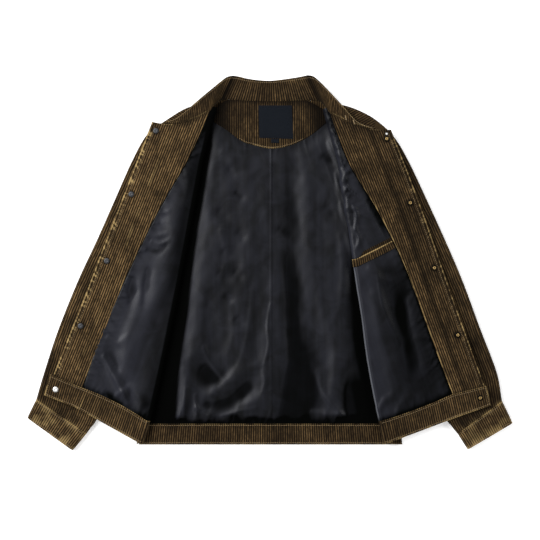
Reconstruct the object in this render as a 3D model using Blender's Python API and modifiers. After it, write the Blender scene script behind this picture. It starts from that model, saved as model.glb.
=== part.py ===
"""A corduroy jacket that lies open on its back, inside up.

The fronts are turned outwards over the sleeves, so their facings and linings
show. Right and left are the wearer's: the right front lies at -X. The neck is
at +Y and the jacket rests on z = 0. Tables and sizes are in millimetres, and
the meshes are in metres.
"""

import math
from collections import namedtuple

import bmesh
import bpy
import numpy as np

MM = 0.001

# Cloth
CORDUROY = 2.2
SATIN = 1.0
BAND = 4.2
COLLAR = 4.6
SEAM_GAP = 0.3

# Heights of the face between a front's corduroy and its lining
OVER_FOLD = 17.6
UNDER_FOLD = 5.6
BAND_UNDER_FOLD = 6.75

# The band's two faces, measured from that face
BAND_SHIFT = 0.15
BAND_INNER = BAND / 2 + BAND_SHIFT
BAND_OUTER = BAND_INNER - BAND

# Sewn edges
PLACKET_WIDTH = 38.0
SEAM_LIFT = 0.45
COLLAR_LIFT = 1.5 * SEAM_LIFT
BAND_ROUNDING = 0.9
COLLAR_ROUNDING = 1.0

# Rows of the bands and the collar: the share of the width, and how far each face draws in
FRONT_BAND_ROWS = ((0.0, 0.0), (0.25, 0.0), (0.9, 0.0), (1.0, BAND_ROUNDING))
BACK_BAND_ROWS = ((0.0, 0.0), (0.9, 0.0), (1.0, BAND_ROUNDING))
COLLAR_ROWS = ((0.0, 0.0), (0.33, 0.0), (0.67, 0.0), (0.93, 0.0), (1.0, COLLAR_ROUNDING))

# The armpit's share of the way from hem to neck, and the extra rows just above it
ARMPIT = 0.5
ARMPIT_ROWS = (0.512, 0.524)

# Half the share of the fold over which its direction is taken
RUN_REACH = 0.02

# Columns of a front, zone by zone, and rows from hem to neck
COLUMNS = {"placket": 2, "facing": 3, "lining": 7, "roll": 6, "under": 2, "curl": 4}
ZONES = list(COLUMNS)
ROWS = 16
BACK_COLUMNS = 10
BACK_BAND_COLUMNS = 8
NECK_COLUMNS = 20

Front = namedtuple("Front", "inward placket facing fold neck_bow hem_bow side band_end band_low")
Low = namedtuple("Low", "placket facing fold side")
Row = namedtuple("Row", "placket facing fold side inward bow_outer bow_inner curls under landing reach edge")
Ripple = namedtuple("Ripple", "x0 y0 x1 y1 width height")
Section = namedtuple("Section", "outer inner height")
NeckSection = namedtuple("NeckSection", "seam_x seam_y top_x top_y floor top_floor")
FrontSection = namedtuple("FrontSection", "place top_x top_y floor top_floor")

# Plan of each front, a row of points from hem to neck. Side is hem, armpit, neck.
FRONTS = {
    "right": Front(
        inward=1,
        placket=[(-407, -212), (-376, -134), (-344, -54), (-314, 25), (-283, 105), (-252, 185), (-221, 264)],
        facing=[(-352, -235), (-323, -148), (-286, -62), (-246, 24), (-202, 111), (-152, 197), (-113, 284)],
        fold=[(-225, -298), (-202, -197), (-182, -99), (-162, 0), (-144, 99), (-125, 197), (-100, 291)],
        neck_bow=-13.0,
        hem_bow=4.5,
        side=[(-247, -304), (-205, -1), (-121, 300)],
        band_end=6.0,
        band_low=Low((-424, -249), (-367, -271), (-238, -340.5), (-252, -343)),
    ),
    "left": Front(
        inward=-1,
        placket=[(403, -232), (374, -152), (345, -72), (317, 8), (289, 89), (259, 169), (227, 249)],
        facing=[(342, -247), (309, -160), (279, -74), (244, 13), (200, 100), (148, 187), (112, 281)],
        fold=[(204, -298), (185, -198), (171, -100), (156, -1), (143, 97), (126, 196), (99, 288)],
        neck_bow=-10.5,
        hem_bow=-2.5,
        side=[(245, -304), (205, -1), (121, 300)],
        band_end=3.0,
        band_low=Low((415, -268), (352, -290), (213, -341), (250, -343)),
    ),
}

# Soft ridges (height above 0) and troughs in the turned-out fronts
FRONT_RIPPLES = [
    Ripple(-190, -250, -165, -120, 14, 1.6),
    Ripple(-215, -70, -180, 60, 16, 1.4),
    Ripple(-175, 90, -150, 190, 12, 1.2),
    Ripple(-300, -190, -262, -90, 18, -0.7),
    Ripple(-225, 20, -190, 110, 12, -0.7),
    Ripple(-330, -20, -290, 80, 22, 1.1),
    Ripple(300, -240, 262, -110, 20, 1.4),
    Ripple(238, -240, 205, -110, 14, -0.7),
    Ripple(215, -120, 190, -30, 14, 1.2),
    Ripple(190, 40, 160, 150, 14, 1.3),
    Ripple(330, -110, 300, 0, 20, 1.0),
]

# Soft folds in the back lining
LINING_RIPPLES = [
    Ripple(-172, -292, -160, -205, 8, 4.5),
    Ripple(-118, -245, -30, -195, 9, 3.6),
    Ripple(-105, -285, -35, -262, 8, 3.2),
    Ripple(-140, -180, -95, 60, 14, 2.2),
    Ripple(-95, -120, -78, 150, 12, 2.0),
    Ripple(-48, -170, -40, 190, 13, 1.8),
    Ripple(-10, -210, -8, 180, 9, 1.2),
    Ripple(30, -250, 34, 60, 12, -1.0),
    Ripple(62, -290, 68, 150, 12, 2.6),
    Ripple(95, -180, 92, 120, 9, -1.0),
    Ripple(130, -285, 118, 90, 12, 2.6),
    Ripple(176, -290, 150, -120, 10, 2.0),
]
LINING_PUFF = 1.6

# The back lining lies flat within these distances of the folds, the hem and the neck facing
LINING_UNDER_FOLD = 4.0
LINING_FOLD_REACH = 26.0
LINING_HEM = -304.0
LINING_FLAT_HEM = -306.0
LINING_HEM_REACH = 30.0
LINING_NECK_REACH = 40.0

# The back lining's sides: how far up the side line they go, and their insets from it
LINING_TOP = 0.94
LINING_HEM_INSET = 10.0
LINING_TOP_INSET = 12.0
LINING_COLUMNS = 20
LINING_ROWS = 20
FOLD_STEPS = 24

# Sleeve sections from the cuff seam to the raglan seam
SLEEVES = {
    "right": [
        Section((-440, -257), (-345, -322), 12.4),
        Section((-425, -206), (-320, -285), 12.4),
        Section((-399, -127), (-295, -217), 12.4),
        Section((-362, -35), (-269, -149), 12.4),
        Section((-327, 40), (-250, -95), 12.4),
        Section((-292, 119), (-237, -54), 12.4),
        Section((-259, 193), (-226, -27), 11.8),
        Section((-231, 242), (-219, -14), 11.0),
        Section((-196, 268), (-213, -7), 10.0),
        Section((-158, 291), (-209, -3), 9.0),
    ],
    "left": [
        Section((437, -260), (353, -322), 12.4),
        Section((427, -206), (325, -285), 12.4),
        Section((397, -127), (299, -217), 12.4),
        Section((363, -35), (273, -149), 12.4),
        Section((331, 40), (252, -95), 12.4),
        Section((295, 119), (238, -54), 12.4),
        Section((260, 193), (226, -27), 11.8),
        Section((232, 239), (219, -14), 11.0),
        Section((195, 272), (213, -7), 10.0),
        Section((156, 291.5), (209, -3), 9.0),
    ],
}
SLEEVE_DOME = 1.2
RAGLAN_HEIGHT = UNDER_FOLD + CORDUROY

# Creases pressed into the tops of the sleeves
SLEEVE_RIPPLES = [
    Ripple(376, -159, 427, -257, 9, -2.4),
    Ripple(318, -60, 372, -150, 14, -1.6),
    Ripple(400, -262, 360, -300, 10, -1.8),
    Ripple(262, 60, 250, -40, 14, -1.6),
    Ripple(-412, -160, -424, -250, 9, -2.0),
    Ripple(-372, -262, -395, -283, 9, -1.8),
    Ripple(-330, -190, -352, -250, 12, -1.4),
    Ripple(-262, 60, -250, -40, 14, -1.6),
]

CUFFS = {
    "right": [Section((-440, -257), (-345, -322), 14.4), Section((-457, -292), (-371, -354), 14.0)],
    "left": [Section((437, -260), (353, -322), 14.4), Section((457, -302), (372, -352), 14.0)],
}

# Collar: sections sewn to the fronts' neck edge (place counts its zones), then round the back
COLLAR_FRONTS = {
    "right": [
        FrontSection(0.6, -196, 264, 15.4, 15.4),
        FrontSection(1, -177, 270, 15.4, 14.6),
        FrontSection(4 / 3, -156, 286.5, 15.4, 14.0),
        FrontSection(5 / 3, -131, 308, 15.4, 13.8),
        FrontSection(2, -107, 328, 15.4, 13.8),
        FrontSection(3, -90, 342, 14.8, 12.6),
    ],
    "left": [
        FrontSection(0.9, 193.5, 252.5, 15.4, 15.4),
        FrontSection(1, 187, 254, 15.4, 15.2),
        FrontSection(4 / 3, 163, 265, 15.4, 14.0),
        FrontSection(5 / 3, 136, 295, 15.4, 13.8),
        FrontSection(2, 106, 327, 15.4, 13.8),
        FrontSection(3, 92, 341, 14.8, 12.6),
    ],
}
COLLAR_BACK = [
    NeckSection(-100, 301, -81, 349, 9.6, 7.6),
    NeckSection(-93, 306, -72, 352, 3.4, 2.6),
    NeckSection(-85, 307.6, -65, 352, 0, 0),
    NeckSection(-73, 307.4, -55, 350, 0, 0),
    NeckSection(-56, 306.6, -43, 347, 0, 0),
    NeckSection(-28, 305.4, -21, 344, 0, 0),
    NeckSection(0, 304.8, 0, 343, 0, 0),
    NeckSection(28, 305.4, 21, 345, 0, 0),
    NeckSection(56, 306.4, 43, 348, 0, 0),
    NeckSection(73, 307.0, 55, 350, 0, 0),
    NeckSection(85, 307.0, 65, 352, 0, 0),
    NeckSection(93, 304.6, 72, 353, 3.4, 2.6),
    NeckSection(100, 299, 82, 350, 9.6, 7.6),
]

# Back neck: the seam under the collar and the lower edge of the neck facing
NECK_SEAM = [(-121, 299.7), (-100, 300), (-85, 306.5), (-60, 306), (-30, 304.6), (0, 304),
             (30, 304.6), (60, 306), (85, 306), (100, 298), (121, 299.7)]
NECK_FACING_TOP = [(-99, 293), (-84, 305.5), (-56, 305.5), (-28, 304), (4, 303.5), (41, 304), (70, 305), (98, 290)]
NECK_FACING_LOW = [(-108, 266), (-83, 251), (-53, 229), (-28, 221), (4, 215), (41, 222), (77, 240), (110, 267)]
CENTRE_SEAM = 4.0

LABEL = [(-22, 296), (41, 296), (44, 233), (-20, 235)]
LABEL_THICK = 0.8
SIZE_TAB = [(2, 233.6), (17, 233.0), (17, 225), (2, 225.4)]
SIZE_TAB_THICK = 0.5

# Pocket welt: share up the front at the facing edge and at the fold, and its half height.
# Its columns count zones: across the lining, then a little way over the roll.
WELT_AT_FACING = 0.544
WELT_AT_FOLD = 0.502
WELT_HALF = 0.0150
WELT_THICK = 1.8
WELT_START = 2.03
WELT_STEPS = 5
WELT_ON_ROLL = (3.17, 3.33)
WELT_LEVELS = (-1, -1 / 3, 1 / 3, 1)

SNAPS = {
    "right": [(-214, 247), (-260, 128), (-306, 3), (-355, -119), (-402, -238)],
    "left": [(219, 232), (263, 112), (308, -10), (352, -136), (394, -254)],
}
SNAP_RADIUS = 5.6
SNAP_HEIGHT = 2.0
CAP_RADIUS = 5.8
CAP_THICK = 1.2

# Outlines to be turned, in shares of the radius and the height: a ring round a well, and a cap
SNAP_OUTLINE = [(0, 0.275), (0.42, 0.275), (0.5, 1), (0.78, 1), (1, 0.35), (1, 0), (0, 0)]
CAP_OUTLINE = [(0, 1), (1, 1), (1, 1 / 3), (0.8, 0), (0, 0)]
SNAP_FACETS = 16
CAP_FACETS = 12

# Colour, roughness and metallic
FINISHES = {
    "brown_corduroy": ((0.085, 0.055, 0.028), 0.9, 0.0),
    "dark_satin": ((0.020, 0.021, 0.026), 0.35, 0.0),
    "label_weave": ((0.010, 0.012, 0.016), 0.6, 0.0),
    "grey_nickel": ((0.30, 0.29, 0.28), 0.35, 1.0),
    "bright_nickel": ((0.75, 0.75, 0.74), 0.2, 1.0),
    "aged_brass": ((0.36, 0.25, 0.11), 0.4, 1.0),
}


# ---------------------------------------------------------------- scene

def clear_scene():
    for item in list(bpy.data.objects):
        bpy.data.objects.remove(item, do_unlink=True)


def make_material(name, colour, roughness, metallic):
    material = bpy.data.materials.new(name)
    material.use_nodes = True
    shader = material.node_tree.nodes["Principled BSDF"]
    shader.inputs["Base Color"].default_value = (*colour, 1.0)
    shader.inputs["Roughness"].default_value = roughness
    shader.inputs["Metallic"].default_value = metallic
    return material


def add_object(name, mesh, material, parent):
    item = bpy.data.objects.new(name, mesh)
    mesh.materials.append(material)
    bpy.data.collections["corduroy_jacket"].objects.link(item)
    item.parent = parent
    return item


# ---------------------------------------------------------------- plan and height

def smooth_line(points, share):
    """The point at a share (0 to 1) of a smooth line through evenly spaced points."""
    stops = np.asarray(points, dtype=float)
    last = len(stops) - 1
    place = min(max(share, 0.0), 1.0) * last
    index = min(int(place), last - 1)
    t = place - index
    here, after = stops[index], stops[index + 1]
    before = stops[index - 1] if index > 0 else 2 * here - after
    beyond = stops[index + 2] if index + 2 <= last else 2 * after - here
    cubic = 3 * here - before - 3 * after + beyond
    square = 2 * before - 5 * here + 4 * after - beyond
    return 0.5 * (2 * here + (after - before) * t + square * t ** 2 + cubic * t ** 3)


def broken_line(points, share):
    """The point at a share of straight stretches through evenly spaced points."""
    stops = np.asarray(points, dtype=float)
    place = min(max(share, 0.0), 1.0) * (len(stops) - 1)
    index = min(int(place), len(stops) - 2)
    return stops[index] + (stops[index + 1] - stops[index]) * (place - index)


def unit(vector):
    return vector / np.linalg.norm(vector)


def ease(value):
    """0 below 0, 1 above 1, and smooth between."""
    t = min(max(value, 0.0), 1.0)
    return t * t * (3 - 2 * t)


def ripple_height(x, y, ripples):
    """Sum of the soft ridges and troughs at a point of the plan."""
    total = 0.0
    for fold in ripples:
        start = np.array((fold.x0, fold.y0))
        run = np.array((fold.x1, fold.y1)) - start
        length = np.linalg.norm(run)
        reach = np.array((x, y)) - start
        along = float(reach @ run) / length
        across = float(reach[0] * run[1] - reach[1] * run[0]) / length
        overrun = max(-along, along - length, 0.0)
        distance = across ** 2 + overrun ** 2
        total += fold.height * math.exp(-distance / (2 * fold.width ** 2))
    return total


def over_height(x, y):
    """Height of the face between corduroy and lining on a turned-out front."""
    return OVER_FOLD + ripple_height(x, y, FRONT_RIPPLES)


# ---------------------------------------------------------------- rows of a front

def front_row(side, share):
    """Everything that one row of a front needs, at a share of the way up."""
    front = FRONTS[side]
    fold = smooth_line(front.fold, share)
    ahead = smooth_line(front.fold, min(share + RUN_REACH, 1.0))
    behind = smooth_line(front.fold, max(share - RUN_REACH, 0.0))
    run = unit(ahead - behind)
    inward = np.array((run[1], -run[0])) * front.inward
    return Row(
        placket=smooth_line(front.placket, share),
        facing=smooth_line(front.facing, share),
        fold=fold,
        side=broken_line(front.side, share),
        inward=inward,
        bow_outer=front.neck_bow * share ** 4,
        bow_inner=front.hem_bow * (1 - share) ** 4,
        curls=share <= ARMPIT,
        under=UNDER_FOLD,
        landing=CORDUROY,
        reach=SEAM_GAP + SATIN,
        edge=CORDUROY,
    )


def band_row(side, low):
    """The band's row at its seam (low 0) or at its lower edge (low 1)."""
    front = FRONTS[side]
    seam = front_row(side, 0.0)
    drop = np.array((0.0, -SEAM_LIFT))
    along = unit(seam.placket - seam.facing)
    top = Low(seam.placket + along * front.band_end + drop, seam.facing + drop, seam.fold + drop, seam.side + drop)
    points = [a + (np.asarray(b, dtype=float) - a) * low for a, b in zip(top, front.band_low)]
    return Row(
        placket=points[0],
        facing=points[1],
        fold=points[2],
        side=points[3],
        inward=seam.inward,
        bow_outer=0.0,
        bow_inner=front.hem_bow * (1 - low),
        curls=True,
        under=BAND_UNDER_FOLD,
        landing=-BAND_OUTER,
        reach=BAND_INNER,
        edge=-BAND_OUTER,
    )


def bowed(start, end, share, bow):
    """A point between two ends on a line that bows sideways."""
    chord = end - start
    upward = np.array((-chord[1], chord[0])) / np.linalg.norm(chord)
    if upward[1] < 0:
        upward = -upward
    return start + chord * share + upward * bow * 4 * share * (1 - share)


def row_point(row, place, offset):
    """A point on a row. place counts zones, offset leaves the corduroy for the lining."""
    zone = min(int(place), len(ZONES) - 1)
    t = place - zone
    guess = row.fold - row.inward * (row.reach + (OVER_FOLD - row.under) / 2)
    radius = (over_height(*guess) - row.under) / 2
    turn = row.fold - row.inward * (radius + row.reach)
    strip = unit(turn - row.side)
    curl = (row.under - row.landing) / 2
    curl_length = math.pi * (curl + row.edge / 2)
    curl_start = row.side + strip * (curl + row.edge if row.curls else curl_length)
    if zone < 2:
        seam = PLACKET_WIDTH / np.linalg.norm(row.facing - row.placket)
        share = t * seam if zone == 0 else seam + t * (1 - seam)
        x, y = bowed(row.placket, row.facing, share, row.bow_outer)
        return x, y, over_height(x, y) + offset
    if zone == 2:
        x, y = bowed(row.facing, turn, t, row.bow_inner)
        return x, y, over_height(x, y) + offset
    if zone == 3:
        angle = math.pi * t
        x, y = turn + row.inward * (radius + offset) * math.sin(angle)
        return x, y, row.under + radius + (radius + offset) * math.cos(angle)
    if zone == 4:
        x, y = turn + (curl_start - turn) * t
        return x, y, row.under - offset
    if row.curls:
        angle = math.pi * t
        x, y = curl_start - strip * (curl - offset) * math.sin(angle)
        return x, y, row.under - curl + (curl - offset) * math.cos(angle)
    x, y = curl_start - strip * curl_length * t
    return x, y, row.under - offset


def zone_places(first, last):
    """Column places from the start of one zone to the end of another."""
    places = []
    for zone in range(ZONES.index(first), ZONES.index(last) + 1):
        count = COLUMNS[ZONES[zone]]
        places += [zone + step / count for step in range(count)]
    return places + [ZONES.index(last) + 1]


def row_shares():
    shares = [step / ROWS for step in range(ROWS + 1)]
    return sorted(shares + list(ARMPIT_ROWS))


# ---------------------------------------------------------------- solids

def wall(name, lower, upper, material, parent, closed=False):
    """A cloth wall between two grids of points, closed round its rim."""
    lower = np.asarray(lower, dtype=float) * MM
    upper = np.asarray(upper, dtype=float) * MM
    rows, columns = upper.shape[:2]
    shape = bmesh.new()
    low = [[shape.verts.new(point) for point in row] for row in lower]
    top = [[shape.verts.new(point) for point in row] for row in upper]
    spans = columns if closed else columns - 1

    def quad(a, b, c, d):
        shape.faces.new((a, b, c))
        shape.faces.new((a, c, d))

    for i in range(rows - 1):
        for j in range(spans):
            k = (j + 1) % columns
            quad(top[i][j], top[i][k], top[i + 1][k], top[i + 1][j])
            quad(low[i][j], low[i + 1][j], low[i + 1][k], low[i][k])
    for j in range(spans):
        k = (j + 1) % columns
        quad(low[0][j], low[0][k], top[0][k], top[0][j])
        quad(low[-1][k], low[-1][j], top[-1][j], top[-1][k])
    if not closed:
        for i in range(rows - 1):
            quad(low[i + 1][0], low[i][0], top[i][0], top[i + 1][0])
            quad(low[i][-1], low[i + 1][-1], top[i + 1][-1], top[i][-1])
    bmesh.ops.recalc_face_normals(shape, faces=shape.faces)
    mesh = bpy.data.meshes.new(name)
    shape.to_mesh(mesh)
    shape.free()
    mesh.shade_smooth()
    mesh.set_sharp_from_angle(angle=math.radians(40))
    return add_object(name, mesh, material, parent)


def front_layer(side, places, low, high):
    """Two grids of a front between two offsets, a row for each share of the way up."""
    rows = [front_row(side, share) for share in row_shares()]
    return [[[row_point(row, place, offset) for place in places] for row in rows] for offset in (low, high)]


def build_fronts(side, cloth, satin, parent):
    """One front: its outer cloth, and on it the placket, the facing and the lining."""
    body = front_layer(side, zone_places("placket", "curl"), -CORDUROY, 0.0)
    wall(f"front_{side}", *body, cloth, parent)
    facing_low, facing_high = SEAM_GAP, SEAM_GAP + CORDUROY
    placket = zone_places("placket", "placket")
    placket[-1] = 1 - SEAM_GAP / PLACKET_WIDTH
    wall(f"placket_{side}", *front_layer(side, placket, facing_low, facing_high), cloth, parent)
    facing = zone_places("facing", "facing")
    facing[-1] = 2 - SEAM_GAP / PLACKET_WIDTH
    wall(f"facing_{side}", *front_layer(side, facing, facing_low, facing_high), cloth, parent)
    lining = zone_places("lining", "under")[:-1]
    wall(f"front_lining_{side}", *front_layer(side, lining, SEAM_GAP, SEAM_GAP + SATIN), satin, parent)


def build_front_band(side, cloth, parent):
    """The hem band of one front, which turns under with it at the fold."""
    places = zone_places("placket", "curl")
    grids = [[], []]
    for low, inset in FRONT_BAND_ROWS:
        row = band_row(side, low)
        grids[0].append([row_point(row, place, BAND_OUTER + inset) for place in places])
        grids[1].append([row_point(row, place, BAND_INNER - inset) for place in places])
    wall(f"front_band_{side}", *grids, cloth, parent)


def side_edge(side, share, inset):
    """A point inside the side seam or raglan seam of the back."""
    row = front_row(side, share)
    turn = row.fold - row.inward * (row.reach + (OVER_FOLD - row.under) / 2)
    return row.side + unit(turn - row.side) * inset


def back_inset(share):
    """How far the back's edge lies inside the side line, to clear the turned-up front."""
    curl = (UNDER_FOLD - CORDUROY) / 2
    return curl + CORDUROY + SEAM_GAP if share <= ARMPIT_ROWS[0] else 0.0


def build_back(cloth, parent):
    """The back panel, between the side and raglan seams and up to the neck seam."""
    steps = [step / BACK_COLUMNS for step in range(BACK_COLUMNS + 1)]
    grid = []
    for share in row_shares():
        left = side_edge("left", share, back_inset(share))
        right = side_edge("right", share, back_inset(share))
        grid.append([right + (left - right) * step for step in steps])
    top = [smooth_line(NECK_SEAM, step) for step in steps]
    grid[-1][1:-1] = top[1:-1]
    flat = np.array(grid)
    lower = np.dstack([flat, np.zeros(flat.shape[:2])])
    upper = np.dstack([flat, np.full(flat.shape[:2], CORDUROY)])
    wall("back_panel", lower, upper, cloth, parent)


def fold_x(side, y):
    """Where the fold of a front lies at a height on the plan."""
    line = np.array([smooth_line(FRONTS[side].fold, step / FOLD_STEPS) for step in range(FOLD_STEPS + 1)])
    return float(np.interp(y, line[:, 1], line[:, 0]))


def lining_lift(x, y, top_y):
    """How far the back lining stands off the back panel."""
    clear = min(x - fold_x("right", y), fold_x("left", y) - x)
    from_fold = ease((clear + LINING_UNDER_FOLD) / LINING_FOLD_REACH)
    from_hem = ease((y - LINING_FLAT_HEM) / LINING_HEM_REACH)
    from_neck = ease((top_y - y) / LINING_NECK_REACH)
    lift = LINING_PUFF + ripple_height(x, y, LINING_RIPPLES)
    return max(lift, 0.0) * from_fold * from_hem * from_neck


def build_back_lining(side, satin, parent):
    """One half of the back lining, from the centre seam to the side line."""
    sign = -1 if side == "right" else 1
    centre = CENTRE_SEAM + sign * SEAM_GAP / 2
    hem = LINING_HEM + SEAM_GAP
    top_line = np.array(neck_facing_edge(NECK_FACING_LOW))
    low_x = side_edge(side, 0.0, LINING_HEM_INSET)[0]
    top_x = side_edge(side, LINING_TOP, LINING_TOP_INSET)[0]
    low_grid, high_grid = [], []
    for row in range(LINING_ROWS + 1):
        up = row / LINING_ROWS
        inset = LINING_HEM_INSET + (LINING_TOP_INSET - LINING_HEM_INSET) * up
        straight_x = low_x + (top_x - low_x) * up
        bend = side_edge(side, up * LINING_TOP, inset)[0] - straight_x
        low_row, high_row = [], []
        for column in range(LINING_COLUMNS + 1):
            across = column / LINING_COLUMNS
            # Only the outer third follows the bend of the side line
            x = centre + (straight_x - centre) * across + bend * ease(3 * across - 2)
            facing_x = centre + (top_x - centre) * across
            top_y = float(np.interp(facing_x, top_line[:, 0], top_line[:, 1])) - SEAM_LIFT
            y = hem + (top_y - hem) * up
            lift = CORDUROY + SEAM_GAP + lining_lift(x, y, top_y)
            low_row.append((x, y, lift))
            high_row.append((x, y, lift + SATIN))
        low_grid.append(low_row)
        high_grid.append(high_row)
    wall(f"back_lining_{side}", low_grid, high_grid, satin, parent)


def neck_facing_edge(line):
    return [smooth_line(line, step / NECK_COLUMNS) for step in range(NECK_COLUMNS + 1)]


def build_neck_facing(cloth, parent):
    """The half-moon facing inside the back neck."""
    floor = CORDUROY + SEAM_GAP
    plan = np.array([neck_facing_edge(NECK_FACING_LOW), neck_facing_edge(NECK_FACING_TOP)])
    lower = np.dstack([plan, np.full(plan.shape[:2], floor)])
    upper = np.dstack([plan, np.full(plan.shape[:2], floor + CORDUROY)])
    wall("neck_facing", lower, upper, cloth, parent)


def build_patch(name, corners, floor, thickness, material, parent):
    """A flat four-cornered patch. Corners run round it from the top left."""
    top_left, top_right, low_right, low_left = corners
    plan = np.array([[low_left, low_right], [top_left, top_right]], dtype=float)
    lower = np.dstack([plan, np.full(plan.shape[:2], floor)])
    upper = np.dstack([plan, np.full(plan.shape[:2], floor + thickness)])
    wall(name, lower, upper, material, parent)


def build_back_band(cloth, parent):
    """The hem band of the back, flat between the two front bands."""
    lower, upper = [], []
    for low, inset in BACK_BAND_ROWS:
        ends = []
        for side in ("right", "left"):
            row = band_row(side, low)
            curl = (row.under - row.landing) / 2
            ends.append(row.side + np.array((FRONTS[side].inward, 0)) * (curl + row.edge + SEAM_GAP))
        steps = [step / BACK_BAND_COLUMNS for step in range(BACK_BAND_COLUMNS + 1)]
        line = [ends[0] + (ends[1] - ends[0]) * step for step in steps]
        lower.append([(x, y, inset) for x, y in line])
        upper.append([(x, y, BAND - inset) for x, y in line])
    wall("back_band", lower, upper, cloth, parent)


# ---------------------------------------------------------------- tubes

def tube_ring(section, thickness, dome, flats=(4, 10), rounds=4):
    """Inner and outer points round one section of a flattened tube that lies on z = 0.
    flats counts the steps along its underside and its top, rounds those round each edge."""
    outer_end = np.asarray(section.outer, dtype=float)
    inner_end = np.asarray(section.inner, dtype=float)
    along = unit(inner_end - outer_end)
    radius = section.height / 2
    start = outer_end + along * radius
    run = np.linalg.norm(inner_end - outer_end) - 2 * radius
    rings = []
    for shell in (radius - thickness, radius):
        ring = []
        for step in range(flats[0] + 1):
            x, y = start + along * run * step / flats[0]
            ring.append((x, y, radius - shell))
        for step in range(1, rounds):
            angle = math.pi * step / rounds - math.pi / 2
            x, y = start + along * (run + shell * math.cos(angle))
            ring.append((x, y, radius + shell * math.sin(angle)))
        for step in range(flats[1], -1, -1):
            share = step / flats[1]
            x, y = start + along * run * share
            swell = dome * math.sin(math.pi * share)
            crease = ripple_height(x, y, SLEEVE_RIPPLES) if dome else 0.0
            ring.append((x, y, radius + shell + swell + crease))
        for step in range(1, rounds):
            angle = math.pi / 2 + math.pi * step / rounds
            x, y = start + along * shell * math.cos(angle)
            ring.append((x, y, radius + shell * math.sin(angle)))
        rings.append(ring)
    return rings


def build_sleeve(side, cloth, parent):
    """One raglan sleeve, flat, from the cuff seam to the seam on the back."""
    front = FRONTS[side]
    armpit = np.asarray(front.side[1], dtype=float)
    neck = np.asarray(front.side[2], dtype=float)
    seam = unit(neck - armpit)
    outward = np.array((-seam[1], seam[0])) * front.inward
    clear = outward * SEAM_GAP
    sections = SLEEVES[side] + [Section(neck + clear, armpit + clear, RAGLAN_HEIGHT)]
    rings = []
    for index, section in enumerate(sections):
        dome = SLEEVE_DOME if index < len(sections) - 1 else 0.0
        rings.append(tube_ring(section, CORDUROY, dome))
    inner = [ring[0] for ring in rings]
    outer = [ring[1] for ring in rings]
    wall(f"sleeve_{side}", inner, outer, cloth, parent, closed=True)


def build_cuff(side, cloth, parent):
    """The open cuff at the end of one sleeve."""
    seam, hem = CUFFS[side]
    down = unit(np.asarray(hem.outer, dtype=float) - seam.outer) * SEAM_LIFT
    start = Section(seam.outer + down, seam.inner + down, seam.height)
    rings = [tube_ring(section, BAND, 0.0) for section in (start, hem)]
    wall(f"cuff_{side}", [ring[0] for ring in rings], [ring[1] for ring in rings], cloth, parent, closed=True)


# ---------------------------------------------------------------- collar, welt and snaps

def collar_front(side):
    """Collar sections along the neck edge of one front."""
    row = front_row(side, 1.0)
    sections = []
    for place, top_x, top_y, floor, top_floor in COLLAR_FRONTS[side]:
        seam = np.array(row_point(row, place, 0.0)[:2])
        seam += unit(np.array((top_x, top_y)) - seam) * COLLAR_LIFT
        sections.append(NeckSection(seam[0], seam[1], top_x, top_y, floor, top_floor))
    return sections


def build_collar(cloth, parent):
    """The stand collar, laid flat round the neck."""
    sections = collar_front("right") + COLLAR_BACK + collar_front("left")[::-1]
    lower, upper = [], []
    for section in sections:
        low_row, high_row = [], []
        for share, inset in COLLAR_ROWS:
            x = section.seam_x + (section.top_x - section.seam_x) * share
            y = section.seam_y + (section.top_y - section.seam_y) * share
            floor = section.floor + (section.top_floor - section.floor) * share
            low_row.append((x, y, floor + inset))
            high_row.append((x, y, floor + COLLAR - inset))
        lower.append(low_row)
        upper.append(high_row)
    wall("collar", lower, upper, cloth, parent)


def build_welt(cloth, parent):
    """The welt of the inside pocket, on the left front's lining."""
    floor = SEAM_GAP + SATIN + SEAM_GAP
    lining, roll = ZONES.index("lining"), ZONES.index("roll")
    steps = [step / WELT_STEPS for step in range(WELT_STEPS + 1)]
    places = [WELT_START + (roll - WELT_START) * step for step in steps] + list(WELT_ON_ROLL)
    grids = [[], []]
    for level in WELT_LEVELS:
        for grid, offset in zip(grids, (floor, floor + WELT_THICK)):
            line = []
            for place in places:
                reach = min(place - lining, 1.0)
                share = WELT_AT_FACING + (WELT_AT_FOLD - WELT_AT_FACING) * reach + level * WELT_HALF
                line.append(row_point(front_row("left", share), place, offset))
            grid.append(line)
    wall("pocket_welt", *grids, cloth, parent)


def add_turned(name, outline, size, facets, place, material, parent):
    """A turned shape from an outline in shares of its size, a radius and a height."""
    mesh = bpy.data.meshes.new(name)
    points = [(out * size[0] * MM, 0.0, up * size[1] * MM) for out, up in outline]
    mesh.from_pydata(points, [(i, i + 1) for i in range(len(points) - 1)], [])
    item = add_object(name, mesh, material, parent)
    item.location = [value * MM for value in place]
    screw = item.modifiers.new("turn", "SCREW")
    screw.axis = "Z"
    screw.steps = facets
    screw.render_steps = facets
    screw.use_merge_vertices = True
    screw.merge_threshold = 0.00001
    screw.use_smooth_shade = True
    return item


def build_snaps(side, metal, band_metal, cap_metal, parent):
    """The five snaps of one front, numbered from the neck. The last sits on the band."""
    snap_size, cap_size = (SNAP_RADIUS, SNAP_HEIGHT), (CAP_RADIUS, CAP_THICK)
    for number, (x, y) in enumerate(SNAPS[side], start=1):
        on_band = number == len(SNAPS[side])
        inner = BAND_INNER if on_band else SEAM_GAP + CORDUROY
        outer = BAND_OUTER if on_band else -CORDUROY
        face = over_height(x, y)
        finish = band_metal if on_band else metal
        place = (x, y, face + inner + SEAM_GAP)
        add_turned(f"snap_{side}_{number}", SNAP_OUTLINE, snap_size, SNAP_FACETS, place, finish, parent)
        place = (x, y, face + outer - SEAM_GAP - CAP_THICK)
        add_turned(f"cap_{side}_{number}", CAP_OUTLINE, cap_size, CAP_FACETS, place, cap_metal, parent)


# ---------------------------------------------------------------- jacket

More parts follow.
